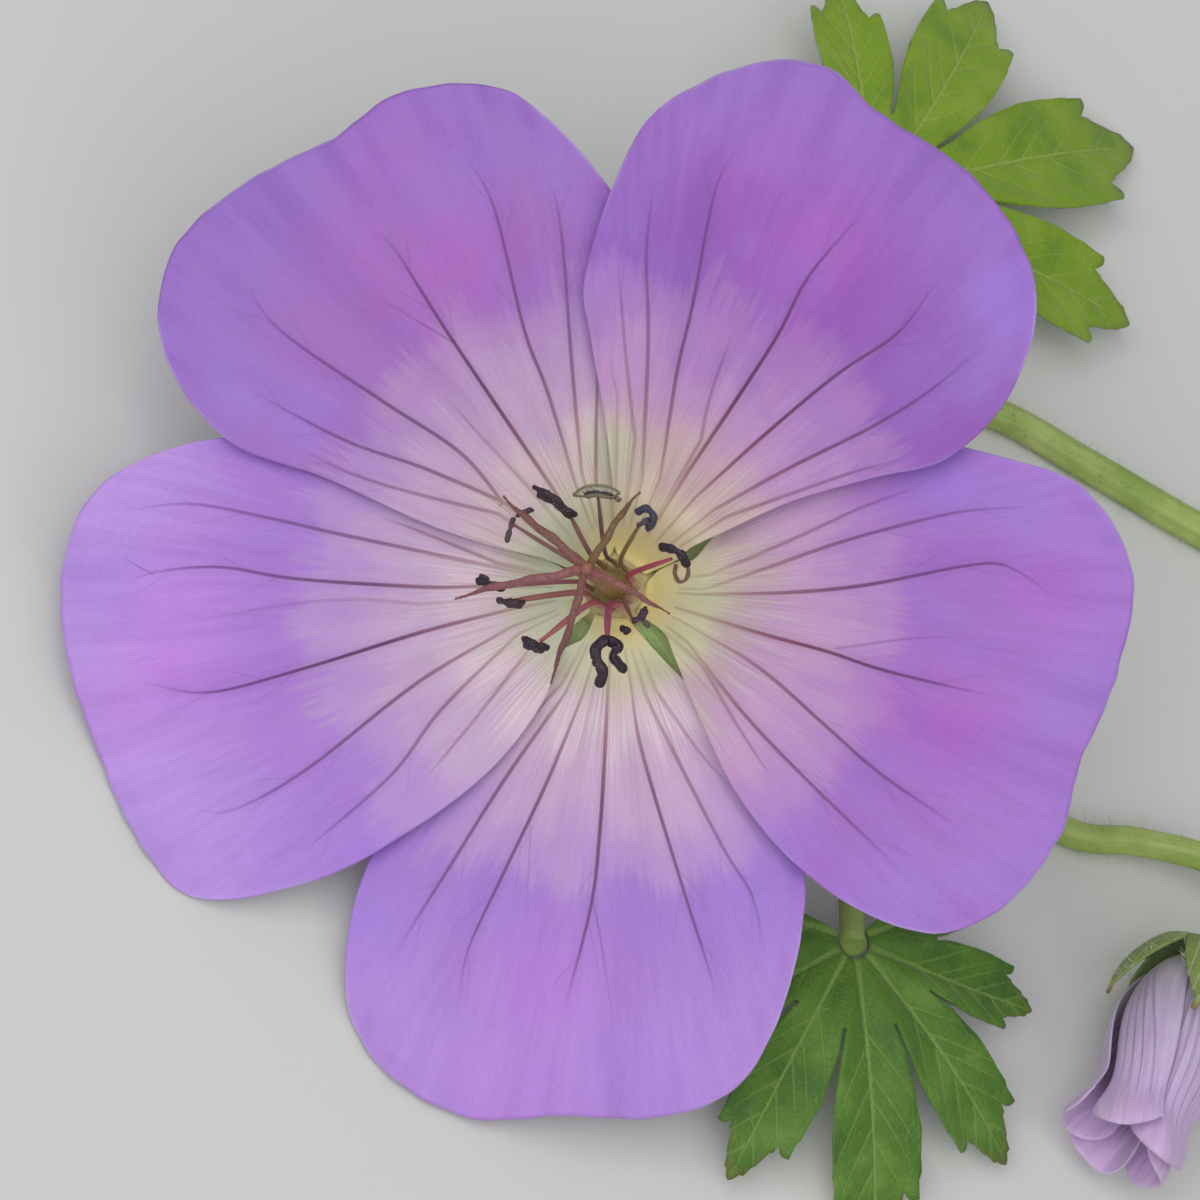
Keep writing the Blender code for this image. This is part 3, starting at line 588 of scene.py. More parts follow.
def grid_faces(rows, columns, wrap=False):
    """Quads of a grid whose points are numbered row by row; wrap joins its last column to its first."""
    i, j = np.meshgrid(np.arange(rows - 1), np.arange(columns if wrap else columns - 1), indexing="ij")
    after = (j + 1) % columns
    corners = (i * columns + j, (i + 1) * columns + j, (i + 1) * columns + after, i * columns + after)
    return np.stack([corner.ravel() for corner in corners], axis=1)


def new_object(name, data):
    obj = bpy.data.objects.new(name, data)
    bpy.context.scene.collection.objects.link(obj)
    return obj


class Piece:
    """One object in the making: closed parts, each with points, faces and named values."""

    def __init__(self, name):
        self.name = name
        self.points = []
        self.faces = []
        self.values = []
        self.count = 0

    def add(self, points, faces, **values):
        """Adds a part. Its grain follows its points unless the values say otherwise."""
        values.setdefault("flow", points)
        self.points.append(points)
        for face_list in faces:
            self.faces += (np.asarray(face_list) + self.count).tolist()
        self.values.append(values)
        self.count += len(points)

    def add_blade(self, middle, half, frame_matrix, facing_up=True, **values):
        """A closed blade round a grid of middle points. half is its half thickness."""
        rows, columns = middle.shape[:2]
        normals = grid_normals(middle)
        if facing_up and normals[..., 2].mean() < 0:
            normals = -normals
        half = np.broadcast_to(half, (rows, columns))[..., None]
        points = np.concatenate([(middle + way * half).reshape(-1, 3) for way in (normals, -normals)])
        face = grid_faces(rows, columns)
        size = rows * columns
        index = np.arange(size).reshape(rows, columns)
        border = np.concatenate([index[0, :-1], index[:-1, -1], index[-1, :0:-1], index[:0:-1, 0]])
        after = np.roll(border, -1)
        strip = np.stack([border, after, after + size, border + size], axis=1)
        doubled = {"under": np.repeat((0.0, 1.0), size)}
        for name, value in values.items():
            flat = np.broadcast_to(value, (rows, columns, *np.shape(value)[2:])).reshape(size, -1)
            doubled[name] = np.vstack([flat, flat]).squeeze()
        self.add(moved(frame_matrix, points), (face[:, ::-1], face + size, strip), **doubled)

    def add_tube(self, route, radii, sides, frame_matrix, flat=1.0, ridges=(0, 0.0), **values):
        """A tube with closed ends. A value is the same all over it or has one entry for each place.

        ridges is how many run along it, and how proud of it they are. flat is its height over its
        width.
        """
        route = np.asarray(route, float)
        ways = np.gradient(route, axis=0)
        ways /= np.linalg.norm(ways, axis=1, keepdims=True)
        normal = np.cross(ways[0], UP)
        if np.linalg.norm(normal) < 0.1:
            normal = np.cross(ways[0], (0.0, 1.0, 0.0))
        angles = 2 * np.pi * np.arange(sides) / sides
        swell = 1 + ridges[1] * np.cos(ridges[0] * angles)
        rings = []
        for place, way, radius in zip(route, ways, np.broadcast_to(radii, len(route))):
            normal = unit(normal - way * (normal @ way))
            x = np.cos(angles) * swell * radius
            y = np.sin(angles) * swell * radius * flat
            rings.append(place + x[:, None] * normal + y[:, None] * np.cross(way, normal))
        points = np.concatenate([*rings, route[:1], route[-1:]])
        size = len(route) * sides
        turn = np.arange(sides)
        after = (turn + 1) % sides
        foot = np.stack([turn, after, np.full(sides, size)], axis=1)
        head = np.stack([turn + size - sides, after + size - sides, np.full(sides, size + 1)], axis=1)
        for name, value in values.items():
            if np.ndim(value) and len(value) == len(route):
                values[name] = np.concatenate([np.repeat(value, sides, axis=0), value[[0, -1]]])
        faces = (grid_faces(len(route), sides, True), foot[:, ::-1], head)
        self.add(moved(frame_matrix, points), faces, **values)

    def add_ball(self, centre, radii, sides, frame_matrix, **values):
        """A stretched ball, slightly lumpy."""
        levels = np.linspace(0.001, np.pi - 0.001, sides // 2)[:, None]
        angles = 2 * np.pi * np.arange(sides) / sides
        ring = np.sin(levels)
        lump = 1 + 0.03 * np.sin(3 * angles + 1.0) * ring
        round_about = np.stack([ring * np.cos(angles) * lump, ring * np.sin(angles) * lump], axis=2)
        ball = raised(round_about, np.cos(levels))
        points = moved(frame_matrix, (ball * np.array(radii)).reshape(-1, 3) + np.array(centre))
        last_ring = self.count + (len(levels) - 1) * sides
        ends = [np.arange(sides)[::-1] + self.count, np.arange(sides) + last_ring]
        self.add(points, (grid_faces(len(levels), sides, True),), **values)
        self.faces += [end.tolist() for end in ends]

    def add_hairs(self, hairs, length, frame_matrix, radius=0.022):
        """A fine bent hair for each place and direction."""
        for place, way in hairs:
            reach = length * picks.uniform(0.6, 1.2)
            lean = np.array([picks.uniform(-0.35, 0.35) for axis in range(3)])
            middle = place + (way + lean * 0.5) * reach * 0.5
            route = (place, middle, place + (way + lean + HAIR_DROOP) * reach)
            radii = (radius, radius * 0.7, radius * 0.15)
            self.add_tube(route, radii, 3, frame_matrix, hair=1.0, flow=0.0)

    def finish(self, material, slot, *nodes):
        """Makes the object, which stands for the named CAD nodes, if any."""
        mesh = bpy.data.meshes.new(self.name)
        points = np.concatenate(self.points)
        points[:, 2] = np.maximum(points[:, 2], 0.0)
        mesh.from_pydata((points * MM).tolist(), [], self.faces)
        for name in sorted({name for values in self.values for name in values}):
            columns = max(np.shape(values.get(name, 0.0))[1:] for values in self.values)
            parts = [
                np.broadcast_to(values.get(name, 0.0), (len(part), *columns))
                for values, part in zip(self.values, self.points)
            ]
            attribute = mesh.attributes.new(name, "FLOAT_VECTOR" if columns else "FLOAT", "POINT")
            flat = np.concatenate(parts).astype(np.float32).ravel()
            attribute.data.foreach_set("vector" if columns else "value", flat)
        bm = bmesh.new()
        bm.from_mesh(mesh)
        bmesh.ops.remove_doubles(bm, verts=bm.verts, dist=1e-7)
        bmesh.ops.recalc_face_normals(bm, faces=bm.faces)
        bm.to_mesh(mesh)
        bm.free()
        mesh.shade_smooth()
        mesh.materials.append(material)
        obj = new_object(self.name, mesh)
        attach(obj, "root")
        if nodes:
            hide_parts(*nodes)


def linear(colour):
    """A linear colour from one of 0 to 255 as pictures hold it. An array is linear already."""
    if not isinstance(colour, tuple):
        return colour
    shares = np.asarray(colour, float) / 255
    return np.where(shares <= 0.04045, shares / 12.92, ((shares + 0.055) / 1.055) ** 2.4)


class Value:
    """A value inside a material, which adds up and multiplies as a number does."""

    def __init__(self, look, socket):
        self.look = look
        self.socket = socket

    def math(self, operation, other):
        return self.look.node("ShaderNodeMath", {0: self, 1: other}, operation=operation)

    def __add__(self, other):
        return self.math("ADD", other)

    def __sub__(self, number):
        return self.math("ADD", -number)

    def __rsub__(self, number):
        return self.look.node("ShaderNodeMath", {0: number, 1: self}, operation="SUBTRACT")

    def __mul__(self, other):
        return self.math("MULTIPLY", other)

    def __truediv__(self, other):
        return self.math("DIVIDE", other)

    def fit(self, low, high, to_low=0.0, to_high=1.0):
        """A smooth step between two limits, onto two others."""
        sockets = dict(enumerate((self, low, high, to_low, to_high)))
        return self.look.node("ShaderNodeMapRange", sockets, interpolation_type="SMOOTHSTEP")


class Look:
    """A material with one Principled shader, whose ground colour is painted over step by step.

    Colours are of 0 to 255, as pictures hold them.
    """

    def __init__(self, name, roughness, **constants):
        self.material = bpy.data.materials.new(name)
        self.material.use_nodes = True
        self.tree = self.material.node_tree
        self.shader = self.tree.nodes["Principled BSDF"]
        self.ground = None
        for key, value in {"Roughness": roughness, **constants}.items():
            self.shader.inputs[key.replace("_", " ")].default_value = value

    def put(self, socket, value):
        """Feeds a socket from a value, or sets it to a number or colour."""
        if isinstance(value, Value):
            self.tree.links.new(value.socket, socket)
        elif socket.type == "RGBA":
            socket.default_value = (*value, 1.0)
        else:
            socket.default_value = value

    def node(self, kind, sockets, output=0, **settings):
        """One output of a new node whose sockets are fed."""
        node = self.tree.nodes.new(kind)
        for key, value in settings.items():
            setattr(node, key, value)
        for key, value in sockets.items():
            self.put(node.inputs[key], value)
        return Value(self, node.outputs[output])

    def attribute(self, name, output="Fac"):
        return self.node("ShaderNodeAttribute", {}, output, attribute_name=name)

    def place(self, name, *stretch):
        """A vector attribute, stretched along its axes."""
        sockets = {"Vector": self.attribute(name, "Vector"), "Scale": stretch}
        return self.node("ShaderNodeMapping", sockets)

    def noise(self, place, scale=1.0, detail=3.0, roughness=0.5):
        sockets = {"Vector": place, "Scale": scale, "Detail": detail, "Roughness": roughness}
        return self.node("ShaderNodeTexNoise", sockets, "Fac")

    def cells(self, place, scale, feature="F1"):
        sockets = {"Vector": place, "Scale": scale}
        return self.node("ShaderNodeTexVoronoi", sockets, "Distance", feature=feature)

    def ramp(self, value, *stops):
        """A smooth ramp through (position, colour) stops, lowest first."""
        node = self.tree.nodes.new("ShaderNodeValToRGB")
        node.color_ramp.interpolation = "EASE"
        elements = node.color_ramp.elements
        while len(elements) < len(stops):
            elements.new(1.0)
        for element, (position, colour) in zip(elements, stops):
            element.position = position
            element.color = (*linear(colour), 1.0)
        self.put(node.inputs[0], value)
        return Value(self, node.outputs[0])

    def paint(self, share, colour, mode="MIX"):
        """Covers a share of the ground with a colour."""
        sockets = {0: share, 6: self.ground, 7: linear(colour)}
        self.ground = self.node("ShaderNodeMix", sockets, 2, data_type="RGBA", blend_type=mode)

    def line(self, kind):
        """A mask of drawn lines of one kind, from the values that lines_on() writes."""
        soft = self.attribute(kind).math("ABSOLUTE", 0.0).fit(0.45, 1.5, 1.0, 0.0)
        close = self.attribute(kind + "_near").fit(0.28, 0.45, 1.0, 0.0)
        return soft * close * self.attribute(kind + "_dark")

    def done(self, height, strength, depth, **sockets):
        """The material, with bumps of a depth in millimetres."""
        bump = {"Strength": strength, "Distance": depth * MM, "Height": height}
        normal = self.node("ShaderNodeBump", bump, "Normal")
        for key, value in {"Base Color": self.ground, "Normal": normal, **sockets}.items():
            self.put(self.shader.inputs[key], value)
        return self.material


# Petals


def petal_outline(shape):
    """A petal's outline from claw to claw, and where on it the rim starts and ends."""
    axis = toward(shape["toward"])
    side = left_of(axis) * CLAW_HALF_WIDTH
    foot = axis * CLAW_FOOT
    first = np.array(shape["out"][0])
    corners = sorted((foot + side, foot - side), key=lambda corner: np.linalg.norm(corner - first))
    route = smooth_route([corners[0], *shape["out"], *shape["rim"], *shape["back"], corners[1]])
    rim_from = (1 + len(shape["out"])) * ROUTE_STEPS
    return route, rim_from, rim_from + (len(shape["rim"]) - 1) * ROUTE_STEPS


def petal_grid(shape):
    """Flat places over a petal, by the share across from its first side and along from its claw."""
    route, rim_from, rim_to = petal_outline(shape)
    across, along = PETAL_CELLS
    out = spread(route[: rim_from + 1], along)[None, :, :]
    rim = spread(route[rim_from : rim_to + 1], across)[:, None, :]
    back = spread(route[rim_to:], along)[::-1][None, :, :]
    s, t = (share[..., None] for share in grid_shares(across, along))
    claw = between(out[:, :1], back[:, :1], s)
    corners = between(claw, between(out[:, -1:], back[:, -1:], s), t)
    return between(out, back, s) + between(claw, rim, t) - corners


def side_branches(lines):
    """Faint twigs that leave each long vein towards its tip, on alternate sides."""
    twigs = []
    for route, darkness in lines:
        lengths = path_lengths(route)
        if lengths[-1] < 9.0:
            continue
        turn = picks.choice((-1, 1))
        for share in (0.5, 0.66, 0.8):
            turn = -turn
            at = int(np.searchsorted(lengths, (share + picks.uniform(-0.04, 0.04)) * lengths[-1]))
            way = route[at] - route[at - 1]
            bend = math.radians(picks.uniform(24, 34)) * turn
            twig = [route[at]]
            for step in range(5):
                heading = math.atan2(way[1], way[0]) + bend * (1 - 0.12 * step)
                onward = np.array((math.cos(heading), math.sin(heading)))
                twig.append(twig[-1] + onward * picks.uniform(0.6, 0.9))
            twigs.append((np.array(twig), 0.16 * darkness))
    return twigs


def glow(flat, spots):
    """How strongly places lie in soft round spots, given as (pixels, radius, strength)."""
    total = np.zeros(flat.shape[:2])
    for pixels, radius, strength in spots:
        away = np.linalg.norm(flat - from_photo(pixels), axis=2)
        total = np.maximum(total, strength * np.exp(-((away / radius) ** 2)))
    return total


def turn_from(middle, places):
    """How far round places lie from a direction, between minus and plus half a turn."""
    return (np.arctan2(places[..., 1], places[..., 0]) - middle + np.pi) % (2 * np.pi) - np.pi


def drawn(lines):
    return [(smooth_route(from_photo(pixels), 6), dark) for pixels, dark in lines]


def petal_values(shape, flat):
    """What the material of a petal reads at each place."""
    middle = math.radians(shape["toward"])
    veins = drawn(shape["veins"])
    rooted = []
    for vein, dark in veins:
        root = np.vstack([vein[0] * (VEIN_ROOT / np.linalg.norm(vein[0])), vein[0]])
        rooted.append((np.vstack([spread(root, 4)[:-1], vein]), dark))
    rooted.sort(key=lambda vein: turn_from(middle, vein[0][-1]))
    values = lines_on(flat, rooted, "vein")
    twigs = drawn(shape.get("forks", ())) + side_branches(veins)
    values.update(lines_on(flat, twigs, "twig", (0.07, 0.06, 0.04), ((0, 0.8), (0.3, 1.0), (1, 0))))
    distance = np.linalg.norm(flat, axis=2)
    covers = [petal_outline(above)[0] for above in PETALS.values() if above["layer"] > shape["layer"]]
    away = [np.full(distance.shape, np.inf)] + [distance_to(flat, cover) for cover in covers]
    layer = np.full(distance.shape, 10.0 * shape["layer"])
    values.update(
        rim=distance_to(flat, petal_outline(shape)[0]),
        # painted shade: darker where a higher petal's edge lies over this one
        shade=np.exp(-np.min(away, axis=0) / 0.9) * smooth_step(5.0, 9.0, distance),
        radius=distance,
        flow=np.stack([turn_from(middle, flat) * 15.0, distance, layer], axis=2),
        blush=glow(flat, shape["blush"]),
        bright=glow(flat, shape["bright"]),
        lime=glow(flat, LIME),
        # the left of the middle, which is painted lighter
        left=smooth_step(1.0, -3.5, flat[..., 0]),
    )
    return values


def petal_material(name, shape):
    look = Look(name, 0.55, Sheen_Weight=0.25, Sheen_Roughness=0.45)
    radius = look.attribute("radius")
    patches = look.noise(look.place("flow", 0.28, 0.2, 1.0), 1.0, 2.0)
    streaks = look.noise(look.place("flow", 3.4, 0.2, 1.0), 1.0, 3.0, 0.6)
    fine = look.noise(look.place("flow", 10.0, 3.0, 1.0), 1.0, 2.0, 0.65)
    rays = look.noise(look.place("flow", 9.0, 0.1, 1.0), 1.0, 1.0)
    drift = (patches - 0.5) * 6.0 + (streaks - 0.5) * 5.5
    pale = shape["pale"]
    base, middle = linear(shape["base"]), linear(shape["middle"])
    # The pale colours near the middle are the petals' own pale eye made lighter still: painted light against
    # the shade in the saucer's middle.
    look.ground = look.ramp(
        (radius + drift * radius.fit(3.0, 9.0)) / FAR,
        (2.0 / FAR, (240, 222, 150)),
        (4.2 / FAR, (240, 226, 190)),
        (6.8 / FAR, shape["throat"]),
        ((pale - 2.5) / FAR, base),
        ((pale + 1.5) / FAR, (base + middle) / 2),
        ((pale + 4.5) / FAR, middle),
        (27.0 / FAR, shape["rim_colour"]),
    )
    throat = radius.fit(3.5, 5.5)
    # Partly the petals' own greenish eye and partly painted light: a pale wash on the left of the middle,
    # against the shade in the saucer.
    look.paint(look.attribute("left") * radius.fit(3.2, 7.4, 0.62, 0.0), (204, 228, 208))
    look.paint(streaks.fit(0.5, 0.66) * throat * radius.fit(8.0, 12.0, 0.36, 0.0), (206, 216, 172))
    look.paint(look.attribute("lime"), (196, 214, 164))
    look.paint(rays.fit(0.53, 0.64) * throat * radius.fit(8.5, 14.0, 0.34, 0.0), (160, 116, 128))
    outer = radius.fit(pale - 2.5, pale + 4.5)
    look.paint(look.attribute("blush") * patches.fit(0.3, 0.6, 0.6, 1.0) * outer * 0.7, shape["pink"])
    look.paint(look.attribute("bright") * outer * 0.7, (166, 128, 232))
    look.paint(patches.fit(0.45, 0.65, 0.0, 0.2) * outer, (158, 124, 216))
    # Painted shade: a violet darkening along the edges of the petals that lie over this one.
    look.paint(look.attribute("shade") * radius.fit(9.0, 15.0, 0.0, 0.42), (130, 80, 190))
    light = streaks.fit(0.3, 0.7, 0.975, 1.025) + fine.fit(0.3, 0.7, -0.03, 0.03)
    look.paint(1.0, look.node("ShaderNodeCombineColor", {0: light, 1: light, 2: light}), "MULTIPLY")
    vein_colour = look.ramp(
        radius / FAR,
        (4.5 / FAR, (164, 122, 106)),
        (9.0 / FAR, (128, 66, 96)),
        (14.0 / FAR, (94, 38, 98)),
        (24.0 / FAR, (106, 50, 134)),
    )
    veins = look.line("vein")
    halo = look.attribute("vein_near").fit(0.0, 0.6, 0.14, 0.0) * look.attribute("vein_dark")
    look.paint(halo, vein_colour)
    look.paint(look.line("twig"), vein_colour)
    look.paint(veins, vein_colour)
    edge = look.attribute("rim").fit(0.03, 0.16, 0.3, 0.0)
    look.paint(edge * patches.fit(0.4, 0.6) * outer, (208, 200, 238))
    look.paint(look.attribute("under") * 0.45, (206, 186, 222))
    return look.done(streaks * 0.5 + fine * 0.5 + veins * -0.8, 0.32, 0.16)


def make_petals():
    s, t = grid_shares(*PETAL_CELLS)
    u = 2 * s - 1
    inner = (1 - u * u) ** 2
    for name, shape in PETALS.items():
        flat = petal_grid(shape)
        layer = shape["layer"]
        distance = np.linalg.norm(flat, axis=2)
        values = petal_values(shape, flat)
        rim, turned = values["rim"], values["flow"][..., 0]
        folds = FOLD_HEIGHT * np.cos(3 * np.pi * u) * inner * np.sin(np.pi * np.minimum(t, 0.5))
        swell = RIM_WAVE * np.sin(5 * np.pi * s) * inner * t**3
        puff = VEIN_PUFF * (1 - np.exp(-((values["vein_near"] / 1.1) ** 2))) - VEIN_PUFF / 2
        puff = puff * smooth_step(3.0, 8.0, distance) * smooth_step(0.0, 2.0, rim)
        ruffle = waves(turned, (0.1, 2.1, layer), (0.06, 5.3, 0.0)) * smooth_step(0.8, 1.0, t)
        lift = layer * LAYER_STEP * smooth_step(LAYERED_FROM, LAYERED_AT, distance)
        depth = saucer(distance) + lift + folds + swell + puff + ruffle
        turn = np.arctan2(flat[..., 1], flat[..., 0])
        crinkle = waves(turn, (0.05, 17, layer), (0.02, 61, 0.0), (0.015, 97, 0.0))
        crinkle = crinkle * smooth_step(9.0, 18.0, distance) * (1 - smooth_step(0.2, 2.4, rim))
        place = flat * (1 + crinkle / np.maximum(distance, 1.0))[..., None]
        half = 0.03 + 0.09 * smooth_step(0.0, 1.2, rim)
        piece = Piece("fine_" + name)
        piece.add_blade(raised(place, depth), half, FLOWER, **values)
        piece.finish(petal_material(name, shape), "petal", name)


# Sepals


def green_material(name, colours, vein_colour, under=(150, 168, 118), under_share=0.55, rust=0.7):
    """A soft green blade: ground colours by a noise, drawn veins, its own underside, tips and hairs."""
    look = Look(
        name, 0.6, Sheen_Weight=0.12, Sheen_Roughness=0.5, Subsurface_Weight=0.06, Subsurface_Scale=0.5 * MM,
    )
    patches = look.noise(look.place("flow", 0.35, 0.35, 0.35))
    fine = look.noise(look.place("flow", 3.0, 3.0, 3.0), 1.0, 4.0, 0.6)
    stops = [(0.3 + 0.4 * k / (len(colours) - 1), colour) for k, colour in enumerate(colours)]
    look.ground = look.ramp(patches + (fine - 0.5) * 0.15, *stops)
    stalk = look.attribute("stalk")
    net = look.cells(look.place("flow", 1.0, 1.0, 1.0), 2.1, "DISTANCE_TO_EDGE")
    mesh = net.fit(0.0, 0.12, 1.0, 0.0) * (1.0 - stalk)
    veins, twigs = look.line("vein"), look.line("twig")
    look.paint(mesh * 0.16, vein_colour)
    look.paint(twigs * 0.5, vein_colour)
    look.paint(veins * 0.75, vein_colour)
    look.paint(look.attribute("under") * under_share, under)
    look.paint(look.attribute("tip") * rust, (140, 84, 62))
    look.paint(stalk * fine.fit(0.3, 0.7, 0.75, 1.0), (152, 172, 92))
    look.paint(look.attribute("hair"), (206, 214, 178))
    height = fine * 0.4 + mesh * -0.3 + veins * -0.9 + twigs * -0.6
    return look.done(height, 0.6, 0.14, Roughness=fine.fit(0.3, 0.7, 0.5, 0.68))


def make_sepals(material):
    across, along = SEPAL_CELLS
    s, t = grid_shares(across, along)
    u = 2 * s - 1
    whole = SEPAL_LENGTH + SEPAL_POINT + 0.4
    distance = SEPAL_FROM + whole * t
    bulged = np.clip(SEPAL_FOOT_SHARE + (1 - SEPAL_FOOT_SHARE) * (distance - SEPAL_FROM) / SEPAL_LENGTH, 0, 1)
    bulge = np.sin(np.pi * bulged) ** SEPAL_FULLNESS
    point = 0.95 * np.clip((SEPAL_FROM + whole - distance) / 3.0, 0, 1) ** 1.8 + 0.05
    widest = SEPAL_HALF_WIDTH * bulge
    half_width = np.maximum(np.where(distance < 9.0, widest, np.minimum(widest + 0.3, point)), 0.05)
    depth = saucer(distance) - SEPAL_BELOW - SEPAL_LOWER * smooth_step(LAYERED_FROM, LAYERED_AT, distance)
    depth = depth - SEPAL_KEEL * (1 - u * u) * bulge
    half = 0.05 + 0.12 * (1 - u**4) * (1 - smooth_step(0.8, 1.0, t) * 0.6)
    for index, degrees in enumerate(SEPAL_TOWARD):
        axis = toward(degrees)
        side = left_of(axis)
        flat = axis * distance[..., None] + side * (u * half_width)[..., None]
        middle = raised(flat, depth)
        lines = []
        for share in (-0.62, -0.32, 0.0, 0.32, 0.62):
            at = round((share + 1) / 2 * across)
            lines.append((flat[at, ::3], 0.9 if share == 0 else 0.7))
        values = lines_on(flat, lines, "vein", (0.09, 0.08, 0.05), ((0, 1.0), (0.8, 0.8), (1, 0)))
        values["flow"] = np.stack(np.broadcast_arrays(u * half_width, distance, 9.0 * index), axis=2)
        values["tip"] = smooth_step(9.6, 11.2, distance)
        piece = Piece(f"fine_sepal_{index + 1}")
        piece.add_blade(middle, half, FLOWER, **values)
        hairs = []
        for hair in range(70):
            i = picks.choice((0, 0, across, across, picks.randrange(across)))
            j = picks.randrange(8, along - 6)
            outward = 1 if i > across / 2 else -1
            sideways, down = (0.85, -0.5) if i in (0, across) else (0.2, -0.9)
            hairs.append((middle[i, j], unit(np.array((*(side * outward * sideways + axis * 0.4), down)))))
        piece.add_hairs(hairs, 0.7, FLOWER)
        piece.finish(material, "sepal", f"sepal_{index + 1}")


# Stamens and pistil


def column_axis(height):
    share = max((height - COLUMN_FOOT) / (COLUMN_TOP[2] - COLUMN_FOOT), 0.0)
    lean = share**COLUMN_BOW
    return np.array((COLUMN_TOP[0] * lean, COLUMN_TOP[1] * lean, height))


def tinted_material(name, roughness):
    """A small organ whose colour is in its points, with fine grain."""
    look = Look(name, roughness, Subsurface_Weight=0.05, Subsurface_Scale=0.3 * MM)
    place = look.place("flow", 1.0, 1.0, 1.0)
    grain = look.noise(place, 9.0, 4.0, 0.6)
    look.ground = look.attribute("tint", "Color")
    look.paint(look.noise(place, 1.6).fit(0.35, 0.65, 0.0, 0.35), look.attribute("tint_dark", "Color"))
    look.paint(grain.fit(0.55, 0.75, 0.0, 0.25), look.attribute("tint_light", "Color"))
    rough = grain.fit(0.3, 0.7, roughness - 0.1, roughness + 0.15)
    return look.done(grain + look.cells(place, 7.0) * 0.6, 0.7, 0.06, Roughness=rough)


def tints(colour, count, other=None):
    """Colours for places along a part, with a lighter and a darker one beside each."""
    tint = between(linear(colour), linear(other or colour), even(count)[:, None])
    return {"tint": tint, "tint_dark": tint * 0.6, "tint_light": np.minimum(tint * 1.35 + 0.01, 0.95)}


def add_anther(piece, strokes, height):
    """The lumps of one anther: a rough, grooved stroke for each of its parts, with grains of pollen."""
    for index, (pixels, radius, colour) in enumerate(strokes):
        middle = smooth_route([(*place, height) for place in from_photo(pixels)], 6)
        middle[:, 2] += 0.3 * np.sin(np.pi * even(len(middle))) - 0.15 * index
        middle = spread(middle, 30)
        share = even(len(middle))
        start = picks.uniform(0.0, 6.0)
        lumps = 1 + waves(share, (0.2, 8, start), (0.13, 19, 2 * start))
        body = radius * (0.78 + 0.22 * np.sin(np.pi * share)) * lumps
        route, radii = domed(middle, body)
        piece.add_tube(route, radii, 20, FLOWER, 0.85, (3, 0.13), **tints(colour, len(route)))
        for grain in range(int(60 * radius)):
            at = picks.randrange(2, len(middle) - 2)
            angle = picks.uniform(0.0, math.pi)
            beside = np.cross(unit(middle[at + 1] - middle[at - 1]), UP)
            out = beside * math.cos(angle) + UP * 0.85 * math.sin(angle)
            place = middle[at] + out * body[at] * 0.95
            size = picks.uniform(0.03, 0.05)
            route, radii = domed((place - out * 0.01, place + out * 0.01), (size, size), 2)
            piece.add_tube(route, radii, 6, FLOWER, **tints(POLLEN, len(route)))


def make_stamens(material):
    piece = Piece("fine_stamens")
    sides = 40
    around = 2 * np.pi * np.arange(sides) / sides
    ring = np.array([[(r * math.cos(a), r * math.sin(a), z) for a in around] for r, z in STAMEN_RING])
    points = moved(FLOWER, ring.reshape(-1, 3))
    faces = grid_faces(len(STAMEN_RING) + 1, sides, True) % len(points)
    piece.add(points, (faces,), **tints((206, 186, 140), len(points)))
    for index, (hold, height, colour, thickness, strokes) in enumerate(STAMENS):
        add_anther(piece, strokes, height)
        foot = toward(36 * index + 5)
        end = np.array((*from_photo(hold), height - 0.1))
        axis = [column_axis(level) for level in FILAMENT_HEIGHTS]
        outward = unit(end[:2] - axis[-1][:2])
        ways = (foot, foot, unit(foot + outward))
        stand = [
            centre + np.array((*way, 0.0)) * away
            for centre, way, away in zip(axis, ways, FILAMENT_SPREAD)
        ]
        route = spread(smooth_route([*stand, end], 12), 44)
        share = even(len(route))
        radii = thickness * (1.5 - 0.55 * smooth_step(0.0, 0.5, share) - 0.35 * smooth_step(0.8, 1.0, share))
        tint = between(linear((206, 172, 140)), linear(colour), smooth_step(0.1, 0.5, share)[:, None])
        light = np.minimum(tint * 1.45, 0.95)
        piece.add_tube(route, radii, 14, FLOWER, tint=tint, tint_dark=tint * 0.6, tint_light=light)
    piece.finish(material, "stamen", "stamens")


